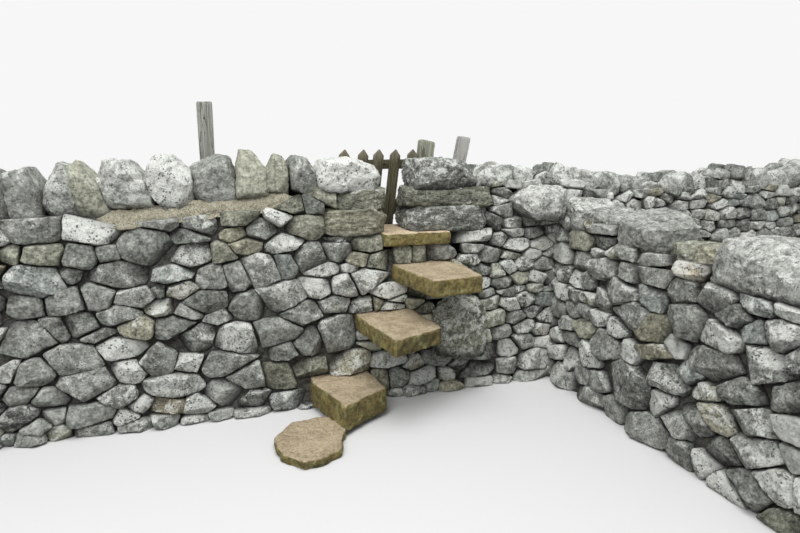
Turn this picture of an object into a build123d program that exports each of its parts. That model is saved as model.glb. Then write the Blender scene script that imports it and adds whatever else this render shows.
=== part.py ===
from build123d import *
import math
import os

# A dry-stone wall stile: slabs climb a battered wall to a squeeze gap between jambs, with a
# leaning wicket gate behind it. Millimetres; X runs right along the wall, Y into the field,
# Z up. The origin is on the ground under the middle of the squeeze gap.

# Main wall
wall_base_half = 300
wall_batter = 0.09
wall_left_end = -2400
wall_right_end = 3500
left_top_at_end = 1130
far_wall_top = 1215

# Cross wall, which runs from the main wall towards the viewer and drops in two tiers
cross_centre = 1300
cross_base_half = 300
cross_length = 2600
cross_upper_top = 1060
cross_middle_top = 960
cross_lower_top = 880
cross_first_drop = 760
cross_second_drop = 1470

# Squeeze gap and its jamb stones
gap_half = 95
jamb_nose_back = 20
jamb_flare = 60
jamb_flare_run = 70
left_jamb_length = 380
left_flat_length = 300
right_jamb_length = 475
right_long_length = 530
lower_jamb_top = 1175
upper_jamb_top = 1290
jamb_crown = 28

# Capstones over the jambs
left_cap_length = 395
left_cap_height = 190
right_cap_length = 425
right_cap_height = 178
cap_set_back = 6
cap_half_depth = 185

# Steps: the slabs pass through the wall and stand out on both sides
step_1_top = 180
step_1_thick = 150
step_2_top = 550
step_2_thick = 100
step_3_top = 835
step_3_thick = 106
threshold_top = 1030
threshold_thick = 80
step_1_left = -595
step_1_right = -191
step_1_reach = 708
step_2_left = -300
step_2_right = 103
step_2_reach = 793
step_3_left = -49
step_3_right = 350
step_3_reach = 683
threshold_left = -116
threshold_right = 311
threshold_proud = 22
tail_reach = 560
step_arris = 9
flagstone_top = 50

# Plan corners of the steps as shares of their width and of their reach, towards the viewer and behind
step_1_near = ((0, 0.441), (0.28, 1), (1, 0.73), (0.926, 0.401))
step_1_tail = ((0.926, 1), (0.149, 1), (0.05, 0.507))
step_2_near = ((0, 0.316), (0.184, 1), (1, 0.81), (0.921, 0.316))
step_2_tail = ((0.851, 1), (0.099, 1))
step_3_near = ((0, 0.329), (0.213, 1), (1, 0.93), (1.03, 0.55), (0.95, 0.329))
step_3_tail = ((0.657, 0.402), (0.594, 1), (0.075, 0.964))

# Plan corners of the flagstone, measured from the near left corner of step 1 that it butts against
flagstone_corners = ((-78, -197), (-168, -267), (-278, -282), (-368, -172), (-383, 28), (-278, 188))
flagstone_contact = 0.5

# Posts behind the wall
post_lean = 6.9
hinge_post_side = 98
hinge_post_foot = 124
hinge_post_top = 1590
hinge_post_slant = 20
leaning_post_side = 82
leaning_post_depth = 70
leaning_post_foot = 268
leaning_post_lean = 11.6
leaning_post_top = 1612
leaning_post_slant = 12
fence_post_side = 90
fence_post_left = -1142
fence_post_top = 1815
post_chamfer = 5

# Wicket gate, racked so that its pales follow the post and its rails stay level
pale_pitches = (130, 108, 118, 125)
pale_width = 72
pale_thick = 20
pale_tip_top = 1524
pale_point = 42
pale_foot = 1000
rail_thick = 32
top_rail_z = 1421
top_rail_height = 64
bottom_rail_z = 1128
bottom_rail_height = 105
rail_overhang = 12
rail_set_back = 14
gate_gap = 8

# Hinges: a strap with an eye on each rail, and a driven hook in the post
strap_length = 210
strap_width = 32
strap_thick = 4
eye_outer = 10
eye_height = 34
pin_radius = 6
pin_clearance = 0.3
pin_rise = 6
spike_depth = 70
hook_seat_gap = 0.3
pin_standoff = 15

# Loose stones: widths run along each row and are spread to fill it, heads lean off their beds
stone_gap = 4
stone_taper = 0.82
stone_crown = 35
shoulder_shares = (0.55, 0.75, 0.62)
far_shoulder_share = 0.6
crest_shares = (0.3, 0.55, 0.42, 0.68)
crest_spread = 0.45
crest_fall = 0.04
crest_limits = (0.12, 0.9)
set_back_shares = (0, 0.055, 0.02, 0.08)
cap_taper = 0.85
cap_crown = 55
cope_front = -135
cope_back = 165
rubble_front = -165
rubble_back = 165
cope_widths = (135, 150, 165, 185, 150, 215, 205, 235, 170, 140, 140)
cope_leans = (-5, -10, -5, -55, -100, -70, -10, 5, -5, -10)
cope_tops = (1440, 1465, 1452, 1459, 1467, 1481, 1505, 1502, 1517, 1494, 1487)
rubble_widths = (136, 132, 135, 140, 125, 100)
rubble_leans = (-15, 15, -10, 15, -10)
rubble_tops = (1429, 1442, 1410, 1395, 1438, 1405)
far_widths = (165, 165, 170, 160, 130, 170, 190, 160, 190, 160, 160, 190, 190)
far_leans = (10, -10, 5, -10, 15, -10, 10, -10, 10, -10, 15, -10)
far_tops = (1388, 1365, 1340, 1318, 1350, 1362, 1335, 1375, 1403, 1388, 1370, 1400, 1428)
upper_widths = (180, 182, 193)
upper_leans = (-8, 12)
upper_tops = (1205, 1165, 1150)
middle_widths = (350, 225, 135)
middle_leans = (12, -8)
middle_tops = (1185, 1065, 1080)
lower_widths = (515, 195, 210, 205)
lower_leans = (-10, 10, -8)
lower_tops = (1150, 1040, 1065, 1010)

# Boulders built into the faces
corner_boulder_size = (330, 250, 170)
corner_boulder_at = (945, -215, 1105)
foot_boulder_size = (300, 240, 330)
foot_boulder_at = (372, -265, 280)
boulder_cut = 0.28

cut_margin = 100


def half_at(base_half, z):
    """Half thickness of a battered wall at a height."""
    return base_half - wall_batter * z


def left_top(x):
    """Height of the left wall's body, which drops away from the jamb."""
    run = (x - wall_left_end) / (-gap_half - left_flat_length - wall_left_end)
    return left_top_at_end + run * (upper_jamb_top - left_top_at_end)


def plate(points, thickness, top):
    """A level slab from its plan outline, its top face at a height."""
    face = make_face(Polyline(*points, close=True))
    return Pos(0, 0, top - thickness) * extrude(face, thickness)


def upright(points, front, back):
    """A solid from an outline drawn in X and Z, from one Y to another."""
    outline = [Vector(x, front, z) for x, z in points]
    return extrude(make_face(Polyline(*outline, close=True)), back - front, dir=(0, 1, 0))


def battered_envelope(base_half, start, end):
    """The battered body of a wall along X, higher than any wall top."""
    height = fence_post_top
    top_half = half_at(base_half, height)
    section = [
        Vector(start, -base_half, 0), Vector(start, base_half, 0),
        Vector(start, top_half, height), Vector(start, -top_half, height),
    ]
    return extrude(make_face(Polyline(*section, close=True)), end - start, dir=(1, 0, 0))


def wall_mass(points, base_half=wall_base_half):
    """A battered mass of masonry from its outline in X and Z."""
    xs = [x for x, z in points]
    block = upright(points, -base_half - cut_margin, base_half + cut_margin)
    return block & battered_envelope(base_half, min(xs), max(xs))


def crowned(outline, front, back, crown=stone_crown, taper=stone_taper):
    """A stone from its outline in X and Z, drawn in at its two ends but flat on its bed.

    The outline's first two points are the bed, which may slope.
    """
    (foot_x, foot_z), (toe_x, toe_z) = outline[:2]
    middle = (foot_x + toe_x) / 2

    def bed(x):
        return foot_z + (x - foot_x) * (toe_z - foot_z) / (toe_x - foot_x)

    def section(y, scale):
        points = []
        for x, z in outline:
            shifted = middle + scale * (x - middle)
            points.append(Vector(shifted, y, bed(shifted) + scale * (z - bed(x))))
        return make_face(Polyline(*points, close=True))

    profile = [(front, taper), (front + crown, 1), (back - crown, 1), (back, taper)]
    return loft([section(y, scale) for y, scale in profile], ruled=True)


def row_joints(start, end, widths, leans):
    """Joints of a row as the X of each foot and head, the widths spread to fill the row."""
    spread = (end - start) / sum(widths)
    feet = [start + spread * sum(widths[:index]) for index in range(len(widths) + 1)]
    heads = [0] + list(leans) + [0]
    return [(foot, foot + head) for foot, head in zip(feet, heads)]


def stone_outline(left, right, bed, top, index):
    """Six-sided outline of a coping stone between two sloping joints, its bed first."""
    half_gap = stone_gap / 2
    (left_foot, left_head), (right_foot, right_head) = left, right
    foot_a, foot_b = left_foot + half_gap, right_foot - half_gap
    head_a, head_b = left_head + half_gap, right_head - half_gap
    bed_a, bed_b = bed(foot_a), bed(foot_b)
    width = head_b - head_a
    rise = top - max(bed_a, bed_b)
    near = shoulder_shares[index % len(shoulder_shares)]
    far = far_shoulder_share
    crest = crest_shares[index % len(crest_shares)]
    crest_a = max(crest - crest_spread / 2, crest_limits[0])
    crest_b = min(crest + crest_spread / 2, crest_limits[1])
    side_a = (foot_a + near * (head_a - foot_a), bed_a + near * (top - bed_a))
    side_b = (foot_b + far * (head_b - foot_b), bed_b + far * (top - bed_b))
    return [
        (foot_a, bed_a), (foot_b, bed_b), side_b,
        (head_a + width * crest_b, top - crest_fall * rise),
        (head_a + width * crest_a, top), side_a,
    ]


def stone_row(joints, tops, bed, front, back):
    """A row of coping stones, each between two joints and no two touching."""
    row = []
    for index, top in enumerate(tops):
        outline = stone_outline(joints[index], joints[index + 1], bed, top, index)
        set_back = (back - front) * set_back_shares[index % len(set_back_shares)]
        row.append(crowned(outline, front + set_back, back - set_back / 2))
    return row


def boulder(size, at):
    """A rounded boulder: a block with its corners and long edges cut away."""
    width, depth, height = size
    block = Box(width, depth, height, align=(Align.CENTER, Align.CENTER, Align.MIN))
    block = chamfer(block.edges().filter_by(Axis.Z), min(width, depth) * boulder_cut)
    block = chamfer(block.faces().sort_by(Axis.Z)[-1].edges(), height * boulder_cut)
    return Pos(*at) * block


def jamb_plan(length, reach):
    """Plan of a right jamb stone: a blunt nose at the gap, flaring towards the viewer."""
    return [
        (gap_half + jamb_nose_back, reach), (gap_half, reach / 4), (gap_half, -reach / 2),
        (gap_half + jamb_flare - jamb_nose_back, jamb_flare_run / 4 - reach),
        (gap_half + jamb_flare + jamb_flare_run, -reach),
        (gap_half + length, -reach), (gap_half + length, reach),
    ]


def softened(solid, size):
    """A stone with its upright arrises taken off."""
    return chamfer(solid.edges().filter_by(Axis.Z), size)


def worn(slab):
    """A slab with the arrises round its tread worn off."""
    return chamfer(slab.faces().sort_by(Axis.Z)[-1].edges(), step_arris)


def step_plan(left, right, reach, near, tail):
    """Plan of a through slab, its near corners first, from shares of its width and reach."""
    width = right - left
    front = [(left + across * width, -out * reach) for across, out in near]
    back = [(left + across * width, out * tail_reach) for across, out in tail]
    return front + back


def make_steps():
    """The four slabs, each one stone from face to face of the wall."""
    step_1 = step_plan(step_1_left, step_1_right, step_1_reach, step_1_near, step_1_tail)
    step_2 = step_plan(step_2_left, step_2_right, step_2_reach, step_2_near, step_2_tail)
    step_3 = step_plan(step_3_left, step_3_right, step_3_reach, step_3_near, step_3_tail)
    front = half_at(wall_base_half, threshold_top)
    threshold = [
        (threshold_left, -front - threshold_proud), (threshold_right, -front - threshold_proud),
        (threshold_right, front), (threshold_left, front),
    ]
    return {
        "step_1": worn(plate(step_1, step_1_thick, step_1_top)),
        "step_2": worn(plate(step_2, step_2_thick, step_2_top)),
        "step_3": worn(plate(step_3, step_3_thick, step_3_top)),
        "threshold_slab": plate(threshold, threshold_thick, threshold_top),
    }


def make_flagstone():
    """The flat stone on the ground that is trodden before step 1 and butts against its side."""
    plan = step_plan(step_1_left, step_1_right, step_1_reach, step_1_near, step_1_tail)
    (wall_x, wall_y), (near_x, near_y) = plan[:2]
    touch = (
        near_x + flagstone_contact * (wall_x - near_x),
        near_y + flagstone_contact * (wall_y - near_y),
    )
    outline = [touch, (near_x, near_y)]
    outline += [(near_x + across, near_y + out) for across, out in flagstone_corners]
    return plate(outline, flagstone_top, flagstone_top)


def make_jambs():
    """The through stones each side of the squeeze gap, and the capstones on them."""
    reach = half_at(wall_base_half, lower_jamb_top)
    reach_up = half_at(wall_base_half, upper_jamb_top)
    left_lower = softened(plate(
        [(-gap_half - left_jamb_length, -reach), (-gap_half, -reach),
         (-gap_half, reach), (-gap_half - left_jamb_length, reach)],
        lower_jamb_top - threshold_top, lower_jamb_top), jamb_crown)
    left_upper = softened(plate(
        [(-gap_half - left_flat_length, -reach_up), (-gap_half, -reach_up),
         (-gap_half, reach_up), (-gap_half - left_flat_length, reach_up)],
        upper_jamb_top - lower_jamb_top, upper_jamb_top), jamb_crown)
    right_lower = plate(
        jamb_plan(right_jamb_length, reach), lower_jamb_top - threshold_top, lower_jamb_top)
    right_upper = plate(
        jamb_plan(right_long_length, reach_up), upper_jamb_top - lower_jamb_top, upper_jamb_top)
    return {
        "left_jamb_lower": left_lower,
        "left_jamb_upper": left_upper,
        "right_jamb_lower": right_lower,
        "right_jamb_upper": right_upper,
    }


def shaped(shares, start, bed, length, height):
    """An outline from shares of a stone's length and height, its bed first."""
    return [(start + across * length, bed + up * height) for across, up in shares]


def make_capstones():
    """The two big stones that weigh the jambs down."""
    left = shaped(
        [(0.05, 0), (0.95, 0), (1, 0.37), (0.89, 0.74), (0.53, 1), (0.13, 0.92), (0, 0.47)],
        -gap_half - cap_set_back - left_cap_length, upper_jamb_top, left_cap_length,
        left_cap_height)
    right = shaped(
        [(0.02, 0), (0.93, 0), (1, 0.45), (0.84, 0.89), (0.45, 1), (0.07, 0.93), (0, 0.51)],
        gap_half + cap_set_back, upper_jamb_top, right_cap_length, right_cap_height)
    return {
        "left_capstone": crowned(left, -cap_half_depth, cap_half_depth, cap_crown, cap_taper),
        "right_capstone": crowned(right, -cap_half_depth, cap_half_depth, cap_crown, cap_taper),
    }


def make_walls():
    """The battered masses of the main wall and the cross wall, before stones are let in."""
    jamb_end = -gap_half - left_jamb_length
    flat_end = -gap_half - left_flat_length
    sill = threshold_top - threshold_thick
    left = wall_mass([
        (wall_left_end, 0), (-gap_half, 0), (-gap_half, threshold_top),
        (jamb_end, threshold_top), (jamb_end, lower_jamb_top), (flat_end, lower_jamb_top),
        (flat_end, upper_jamb_top), (wall_left_end, left_top_at_end),
    ])
    middle = wall_mass([(-gap_half, 0), (gap_half, 0), (gap_half, sill), (-gap_half, sill)])
    right = wall_mass([
        (gap_half, 0), (cross_centre, 0), (cross_centre, upper_jamb_top),
        (gap_half + right_long_length, upper_jamb_top),
        (gap_half + right_long_length, lower_jamb_top),
        (gap_half + right_jamb_length, lower_jamb_top),
        (gap_half + right_jamb_length, threshold_top), (gap_half, threshold_top),
    ])
    far = wall_mass([
        (cross_centre, 0), (wall_right_end, 0), (wall_right_end, far_wall_top),
        (cross_centre, far_wall_top),
    ])
    cross = wall_mass([
        (0, 0), (cross_length, 0), (cross_length, cross_lower_top),
        (cross_second_drop, cross_lower_top), (cross_second_drop, cross_middle_top),
        (cross_first_drop, cross_middle_top), (cross_first_drop, cross_upper_top),
        (0, cross_upper_top),
    ], cross_base_half)
    cross = Pos(cross_centre, 0, 0) * Rot(0, 0, -90) * cross
    main_body = battered_envelope(wall_base_half, gap_half, wall_right_end)
    return {
        "left_wall": left,
        "sill_wall": middle,
        "right_wall": right,
        "far_wall": far,
        "cross_wall": cross - main_body,
    }


def level_row(start, end, widths, leans, tops, bed):
    """A row of rough stones on a level bed."""
    joints = row_joints(start, end, widths, leans)
    return stone_row(joints, tops, lambda x: bed, rubble_front, rubble_back)


def make_copings():
    """The rows of stones that finish each wall top."""
    left = row_joints(
        wall_left_end, -gap_half - cap_set_back - left_cap_length - stone_gap,
        cope_widths, cope_leans)
    face = half_at(wall_base_half, cross_upper_top)
    cross = level_row(
        face, cross_first_drop, upper_widths, upper_leans, upper_tops, cross_upper_top)
    cross += level_row(
        cross_first_drop, cross_second_drop, middle_widths, middle_leans, middle_tops,
        cross_middle_top)
    cross += level_row(
        cross_second_drop, cross_length, lower_widths, lower_leans, lower_tops, cross_lower_top)
    turned = [Pos(cross_centre, 0, 0) * Rot(0, 0, -90) * stone for stone in cross]
    return {
        "left_coping": stone_row(left, cope_tops, left_top, cope_front, cope_back),
        "right_coping": level_row(
            gap_half + cap_set_back + right_cap_length + stone_gap, cross_centre,
            rubble_widths, rubble_leans, rubble_tops, upper_jamb_top),
        "far_coping": level_row(
            cross_centre, wall_right_end, far_widths, far_leans, far_tops, far_wall_top),
        "cross_coping": turned,
    }


def lean_at(z):
    """How far the hinge post has moved to the right at a height."""
    return math.tan(math.radians(post_lean)) * z


def make_posts():
    """The hinge post, the second leaning post and the fence post, set at the wall foot."""
    front = wall_base_half
    width = hinge_post_side / math.cos(math.radians(post_lean))
    foot = hinge_post_foot
    lower_corner = hinge_post_top - hinge_post_slant
    hinge_post = upright([
        (foot, 0), (foot + width, 0),
        (foot + width + lean_at(lower_corner), lower_corner),
        (foot + lean_at(hinge_post_top), hinge_post_top),
    ], front, front + hinge_post_side)
    lean = math.tan(math.radians(leaning_post_lean))
    side = leaning_post_side / math.cos(math.radians(leaning_post_lean))
    second_corner = leaning_post_top - leaning_post_slant
    second = upright([
        (leaning_post_foot, 0), (leaning_post_foot + side, 0),
        (leaning_post_foot + side + lean * second_corner, second_corner),
        (leaning_post_foot + lean * leaning_post_top, leaning_post_top),
    ], front, front + leaning_post_depth)
    fence = upright([
        (fence_post_left, 0), (fence_post_left + fence_post_side, 0),
        (fence_post_left + fence_post_side, fence_post_top), (fence_post_left, fence_post_top),
    ], front, front + fence_post_side)
    fence = chamfer(fence.edges().filter_by(Axis.Z), post_chamfer)
    return {"hinge_post": hinge_post, "leaning_post": second, "fence_post": fence}


# The gate hangs behind the wall, its hinge line beside the post's left face
post_left_at_foot = hinge_post_foot
pin_from_post = pin_standoff / math.cos(math.radians(post_lean))
rail_back = wall_base_half + hinge_post_side - rail_set_back
rail_front = rail_back - rail_thick
pale_front = rail_front - pale_thick
pin_y = rail_back + eye_outer


def pin_x(z):
    """Position of the hinge line at a height."""
    return post_left_at_foot + lean_at(z) - pin_from_post


def leaning(z):
    """The place of a hinge part on the leaning hinge line."""
    return Pos(pin_x(z), pin_y, z) * Rot(0, post_lean, 0)


def make_pale(index):
    """One pointed pale; the last stands beside the post with a running gap."""
    cosine = math.cos(math.radians(post_lean))
    sine = math.sin(math.radians(post_lean))
    last_middle = post_left_at_foot - (gate_gap + pale_width / 2) / cosine
    middle = last_middle - sum(pale_pitches[index:])
    length = (pale_tip_top - pale_foot) / cosine
    tip_x = middle + lean_at(pale_tip_top)

    def point(along, across):
        return (tip_x - along * sine + across * cosine, pale_tip_top - along * cosine - across * sine)

    half = pale_width / 2
    outline = [
        point(0, 0), point(pale_point, half), point(length, half),
        point(length, -half), point(pale_point, -half),
    ]
    return upright(outline, pale_front, rail_front)


def make_rail(middle_z, height):
    """A level rail behind the pales, cut short of the hinge eye."""
    right = pin_x(middle_z) - 2 * eye_outer
    span = sum(pale_pitches) + pale_width
    left = right - span - rail_overhang
    return upright([
        (left, middle_z - height / 2), (right, middle_z - height / 2),
        (right, middle_z + height / 2), (left, middle_z + height / 2),
    ], rail_front, rail_back)


def make_strap(middle_z):
    """A strap on a rail's back face, with the eye that turns on the hook's pin."""
    end = pin_x(middle_z)
    bar = upright([
        (end - strap_length, middle_z - strap_width / 2), (end, middle_z - strap_width / 2),
        (end, middle_z + strap_width / 2), (end - strap_length, middle_z + strap_width / 2),
    ], rail_back, rail_back + strap_thick)
    eye = leaning(middle_z) * Cylinder(eye_outer, eye_height)
    bore = leaning(middle_z) * Cylinder(pin_radius + pin_clearance, eye_height + strap_width)
    return bar + eye - bore


def make_hook(middle_z):
    """An L-shaped hook: a spike driven into the post and an upright pin."""
    corner = -eye_height / 2 - hook_seat_gap - pin_radius
    pin_length = eye_height + hook_seat_gap + pin_radius + pin_rise
    pin = Pos(0, 0, corner) * Cylinder(
        pin_radius, pin_length, align=(Align.CENTER, Align.CENTER, Align.MIN))
    spike_length = pin_standoff + spike_depth
    spike = Pos(0, 0, corner) * Rot(0, 90, 0) * Cylinder(
        pin_radius, spike_length, align=(Align.CENTER, Align.CENTER, Align.MIN))
    elbow = Pos(0, 0, corner) * Sphere(pin_radius)
    return leaning(middle_z) * (pin + spike + elbow)


def cut_by(mass, cutters):
    """A mass with the stones that are let into it taken out."""
    for cutter in cutters:
        mass = mass - cutter
    return mass


def make_stile():
    """All the pieces by name, each wall cut to fit the stones let into it."""
    steps = make_steps()
    jambs = make_jambs()
    walls = make_walls()
    corner = boulder(corner_boulder_size, corner_boulder_at)
    foot = boulder(foot_boulder_size, foot_boulder_at)
    let_in = list(steps.values()) + list(jambs.values()) + [corner, foot]
    nodes = {name: cut_by(wall, let_in) for name, wall in walls.items()}
    nodes.update(steps)
    nodes["ground_flagstone"] = make_flagstone()
    nodes.update(jambs)
    nodes.update(make_capstones())
    nodes.update(make_copings())
    nodes["corner_boulder"] = corner
    nodes["foot_boulder"] = foot
    posts = make_posts()
    hooks = {"upper_hook": make_hook(top_rail_z), "lower_hook": make_hook(bottom_rail_z)}
    posts["hinge_post"] = cut_by(posts["hinge_post"], hooks.values())
    nodes.update(posts)
    nodes.update(hooks)
    for index in range(len(pale_pitches) + 1):
        nodes[f"pale_{index + 1}"] = make_pale(index)
    nodes["top_rail"] = make_rail(top_rail_z, top_rail_height)
    nodes["bottom_rail"] = make_rail(bottom_rail_z, bottom_rail_height)
    nodes["upper_strap"] = make_strap(top_rail_z)
    nodes["lower_strap"] = make_strap(bottom_rail_z)
    return nodes


os.makedirs("parts", exist_ok=True)
for node, shape in make_stile().items():
    solids = shape if isinstance(shape, list) else [shape]
    export_step(Compound(children=solids) if len(solids) > 1 else solids[0], f"parts/{node}.step")
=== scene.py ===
"""The looks of a dry-stone wall stile: rubble walls, steps, capstones and a wicket gate."""
import logging
import math
from collections.abc import Callable, Iterator
from contextlib import contextmanager
from dataclasses import dataclass, field, replace
from enum import Enum

import bmesh
import bpy
import numpy as np
from bpy.types import Material, Mesh, Node, NodeTree, Object
from bpy.types import NodeSocket as Socket
from mathutils import Euler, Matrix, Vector
from numpy.random import Generator


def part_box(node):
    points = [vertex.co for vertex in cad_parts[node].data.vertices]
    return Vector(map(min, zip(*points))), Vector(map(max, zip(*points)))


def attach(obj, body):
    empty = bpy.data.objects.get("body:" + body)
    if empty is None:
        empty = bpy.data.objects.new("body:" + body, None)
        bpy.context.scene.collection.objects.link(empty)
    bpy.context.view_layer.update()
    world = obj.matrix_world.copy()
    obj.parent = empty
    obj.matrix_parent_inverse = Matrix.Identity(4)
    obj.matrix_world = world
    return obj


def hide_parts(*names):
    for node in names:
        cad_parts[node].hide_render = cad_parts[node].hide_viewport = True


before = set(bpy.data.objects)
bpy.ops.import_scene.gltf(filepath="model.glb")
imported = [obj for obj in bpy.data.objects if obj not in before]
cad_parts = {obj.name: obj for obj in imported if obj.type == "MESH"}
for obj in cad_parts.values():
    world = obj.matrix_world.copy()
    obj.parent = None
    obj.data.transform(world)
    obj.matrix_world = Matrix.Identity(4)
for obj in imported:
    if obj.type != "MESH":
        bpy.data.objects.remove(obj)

LOG = logging.getLogger("stile")
Point2 = tuple[float, float]
Point3 = tuple[float, float, float]
Polygon = list[Point2]
Array = np.ndarray
Planes = list[tuple[Point3, float]]
Block = tuple[Array, Array, Array, Array]
Colour = tuple[float, float, float]
Paint = tuple[dict[str, object], object]
HeightRule = Callable[[Array, Array], Array]

# The walls' batter, half their thickness at the ground, a height above every wall top, and
# how far the packing lies behind a face
BATTER = 0.09
HALF_BASE = 0.3
SKY = 1.5
PACKING_INSET = 0.062
# The hinge post's lean in degrees, which the gate shares, and the numbers of the gate's pales
POST_LEAN = 6.9
PALES = range(1, 6)
STONE_ATTRIBUTE = "stone"

# What lattice points are scrambled with, in whole numbers of 32 bits
WORD = 0xFFFFFFFF
LATTICE_PRIMES = (73856093, 19349663, 83492791)
SEED_PRIME = 2654435761
HASH_STEPS = ((15, 2246822519), (13, 3266489917))


def half_at(height: float) -> float:
    """Half thickness of the main wall and the cross wall at a height."""
    return HALF_BASE - BATTER * height


class Tint(Enum):
    """Colour family of a stone, as its place on the tint ramp."""

    GREY = 0.1
    COOL = 0.3
    OLIVE = 0.5
    TAN = 0.7
    BROWN = 0.9


# Noise

def hashed(lattice: Array, seed: int) -> Array:
    """Turns lattice points into numbers that look random.

    Args:
        lattice: whole-number points, one a row.
        seed: which pattern to give.

    Returns:
        One number from -1 to 1 a point.
    """
    mixed = np.bitwise_xor.reduce(lattice * np.array(LATTICE_PRIMES), axis=1)
    mixed = (mixed + seed * SEED_PRIME) & WORD
    for shift, factor in HASH_STEPS:
        mixed = (mixed ^ (mixed >> shift)) * factor & WORD
    mixed = mixed ^ (mixed >> 16)
    return mixed / (WORD / 2) - 1.0


def soft_noise(points: Array, seed: int = 0) -> Array:
    """Smooth noise between lattice points one apart.

    Args:
        points: places, one a row.
        seed: which pattern to give.

    Returns:
        One number from -1 to 1 a point.
    """
    cell = np.floor(points).astype(np.int64)
    part = points - cell
    part = part * part * (3.0 - 2.0 * part)
    total = np.zeros(len(points))
    for corner in range(8):
        step = np.array([corner & 1, corner >> 1 & 1, corner >> 2 & 1])
        weight = np.prod(np.where(step == 1, part, 1.0 - part), axis=1)
        total += weight * hashed(cell + step, seed)
    return total


def rough_noise(points: Array, size: float, octaves: int = 3, seed: int = 0) -> Array:
    """Layered noise whose largest lumps have a size in metres.

    Args:
        points: places in metres, one a row.
        size: width of the largest lumps.
        octaves: layers, each half the size and half the strength.
        seed: which pattern to give.

    Returns:
        One number of about -1 to 1 a point.
    """
    total = np.zeros(len(points))
    for octave in range(octaves):
        total += soft_noise(points * (2 ** octave) / size, seed + octave) / 2 ** octave
    return total / 1.6


# Meshes

def deselect_all() -> None:
    """Leaves nothing selected or active."""
    for thing in bpy.context.selected_objects:
        thing.select_set(False)
    bpy.context.view_layer.objects.active = None


def pick(thing: Object) -> None:
    """Makes one object the only one that is selected, and the active one."""
    deselect_all()
    thing.select_set(True)
    bpy.context.view_layer.objects.active = thing


@contextmanager
def editing(thing: Object) -> Iterator[None]:
    """Edit mode with the whole of one object selected."""
    pick(thing)
    bpy.ops.object.mode_set(mode="EDIT")
    bpy.ops.mesh.select_all(action="SELECT")
    yield
    bpy.ops.object.mode_set(mode="OBJECT")


def discard(thing: Object) -> None:
    """Removes an object and its mesh."""
    mesh = thing.data
    bpy.data.objects.remove(thing)
    bpy.data.meshes.remove(mesh)


def coordinates(mesh: Mesh) -> Array:
    """The places of a mesh's vertices, one a row."""
    flat = np.empty(len(mesh.vertices) * 3)
    mesh.vertices.foreach_get("co", flat)
    return flat.reshape(-1, 3)


def triangles_of(mesh: Mesh) -> Array:
    """A mesh's triangles, three vertex numbers a row."""
    mesh.calc_loop_triangles()
    return np.array([tuple(face.vertices) for face in mesh.loop_triangles])


def move_vertices(mesh: Mesh, places: Array) -> None:
    """Puts a mesh's vertices at new places."""
    mesh.vertices.foreach_set("co", places.ravel())
    mesh.update()


def new_object(name: str, vertices: Array, triangles: Array) -> Object:
    """A mesh object from triangles.

    Args:
        name: what to call it.
        vertices: places, one a row.
        triangles: three vertex numbers a row.

    Returns:
        The object, linked to the scene.
    """
    mesh = bpy.data.meshes.new(name)
    mesh.vertices.add(len(vertices))
    mesh.vertices.foreach_set("co", vertices.astype(np.float32).ravel())
    mesh.loops.add(triangles.size)
    mesh.loops.foreach_set("vertex_index", triangles.astype(np.int32).ravel())
    mesh.polygons.add(len(triangles))
    mesh.polygons.foreach_set("loop_start", np.arange(0, triangles.size, 3, dtype=np.int32))
    mesh.polygons.foreach_set("loop_total", np.full(len(triangles), 3, dtype=np.int32))
    mesh.update(calc_edges=True)
    mesh.validate()
    thing = bpy.data.objects.new(name, mesh)
    bpy.context.scene.collection.objects.link(thing)
    return thing


def smooth_shade(thing: Object, angle: float) -> None:
    """Shades an object smooth apart from edges sharper than an angle in degrees."""
    pick(thing)
    bpy.ops.object.shade_smooth_by_angle(angle=math.radians(angle))
    deselect_all()


def make_even(thing: Object, voxel: float, rounding: int = 0) -> None:
    """Gives a piece small even faces and rounds its arrises.

    Args:
        thing: the piece.
        voxel: size of its new faces in metres.
        rounding: how often it is smoothed.
    """
    remesh = thing.modifiers.new("even", "REMESH")
    remesh.mode = "VOXEL"
    remesh.voxel_size = voxel
    if rounding:
        smoothing = thing.modifiers.new("worn", "SMOOTH")
        smoothing.factor = 0.5
        smoothing.iterations = rounding
    pick(thing)
    for modifier in list(thing.modifiers):
        bpy.ops.object.modifier_apply(modifier=modifier.name)
    deselect_all()


def roughen(thing: Object, height: HeightRule, sharp: float) -> None:
    """Moves each vertex of a piece along its normal, and shades the piece.

    Args:
        thing: the piece.
        height: gives each vertex's height from all the places and normals.
        sharp: angle in degrees past which an edge stays sharp.
    """
    places = coordinates(thing.data)
    normals = np.array([vertex.normal[:] for vertex in thing.data.vertices])
    move_vertices(thing.data, places + normals * height(places, normals)[:, None])
    smooth_shade(thing, sharp)


def merged_copy(node: str, name: str) -> Object:
    """A copy of a construction solid with its loose triangles joined up.

    Args:
        node: the construction solid.
        name: what to call the copy.

    Returns:
        The copy, at the same place.
    """
    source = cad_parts[node]
    mesh = source.data.copy()
    mesh.name = name
    mesh.transform(source.matrix_world)
    mesh.materials.clear()
    thing = bpy.data.objects.new(name, mesh)
    bpy.context.scene.collection.objects.link(thing)
    with editing(thing):
        bpy.ops.mesh.remove_doubles(threshold=0.00005)
    deselect_all()
    return thing


def dress(thing: Object, finish: Material) -> None:
    """Gives a piece one material."""
    thing.data.materials.clear()
    thing.data.materials.append(finish)
    LOG.info("%s: %d faces", thing.name, len(thing.data.polygons))


def settle(thing: Object, finish: Material, body: str,
           nodes: tuple[str, ...] = ()) -> None:
    """Dresses a finished piece and hands it to its body.

    Args:
        thing: the piece.
        finish: its material.
        body: the body that it moves with.
        nodes: the construction solids that it stands for.
    """
    dress(thing, finish)
    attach(thing, body)
    if nodes:
        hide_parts(*nodes)


# Shader graphs and groups

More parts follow.
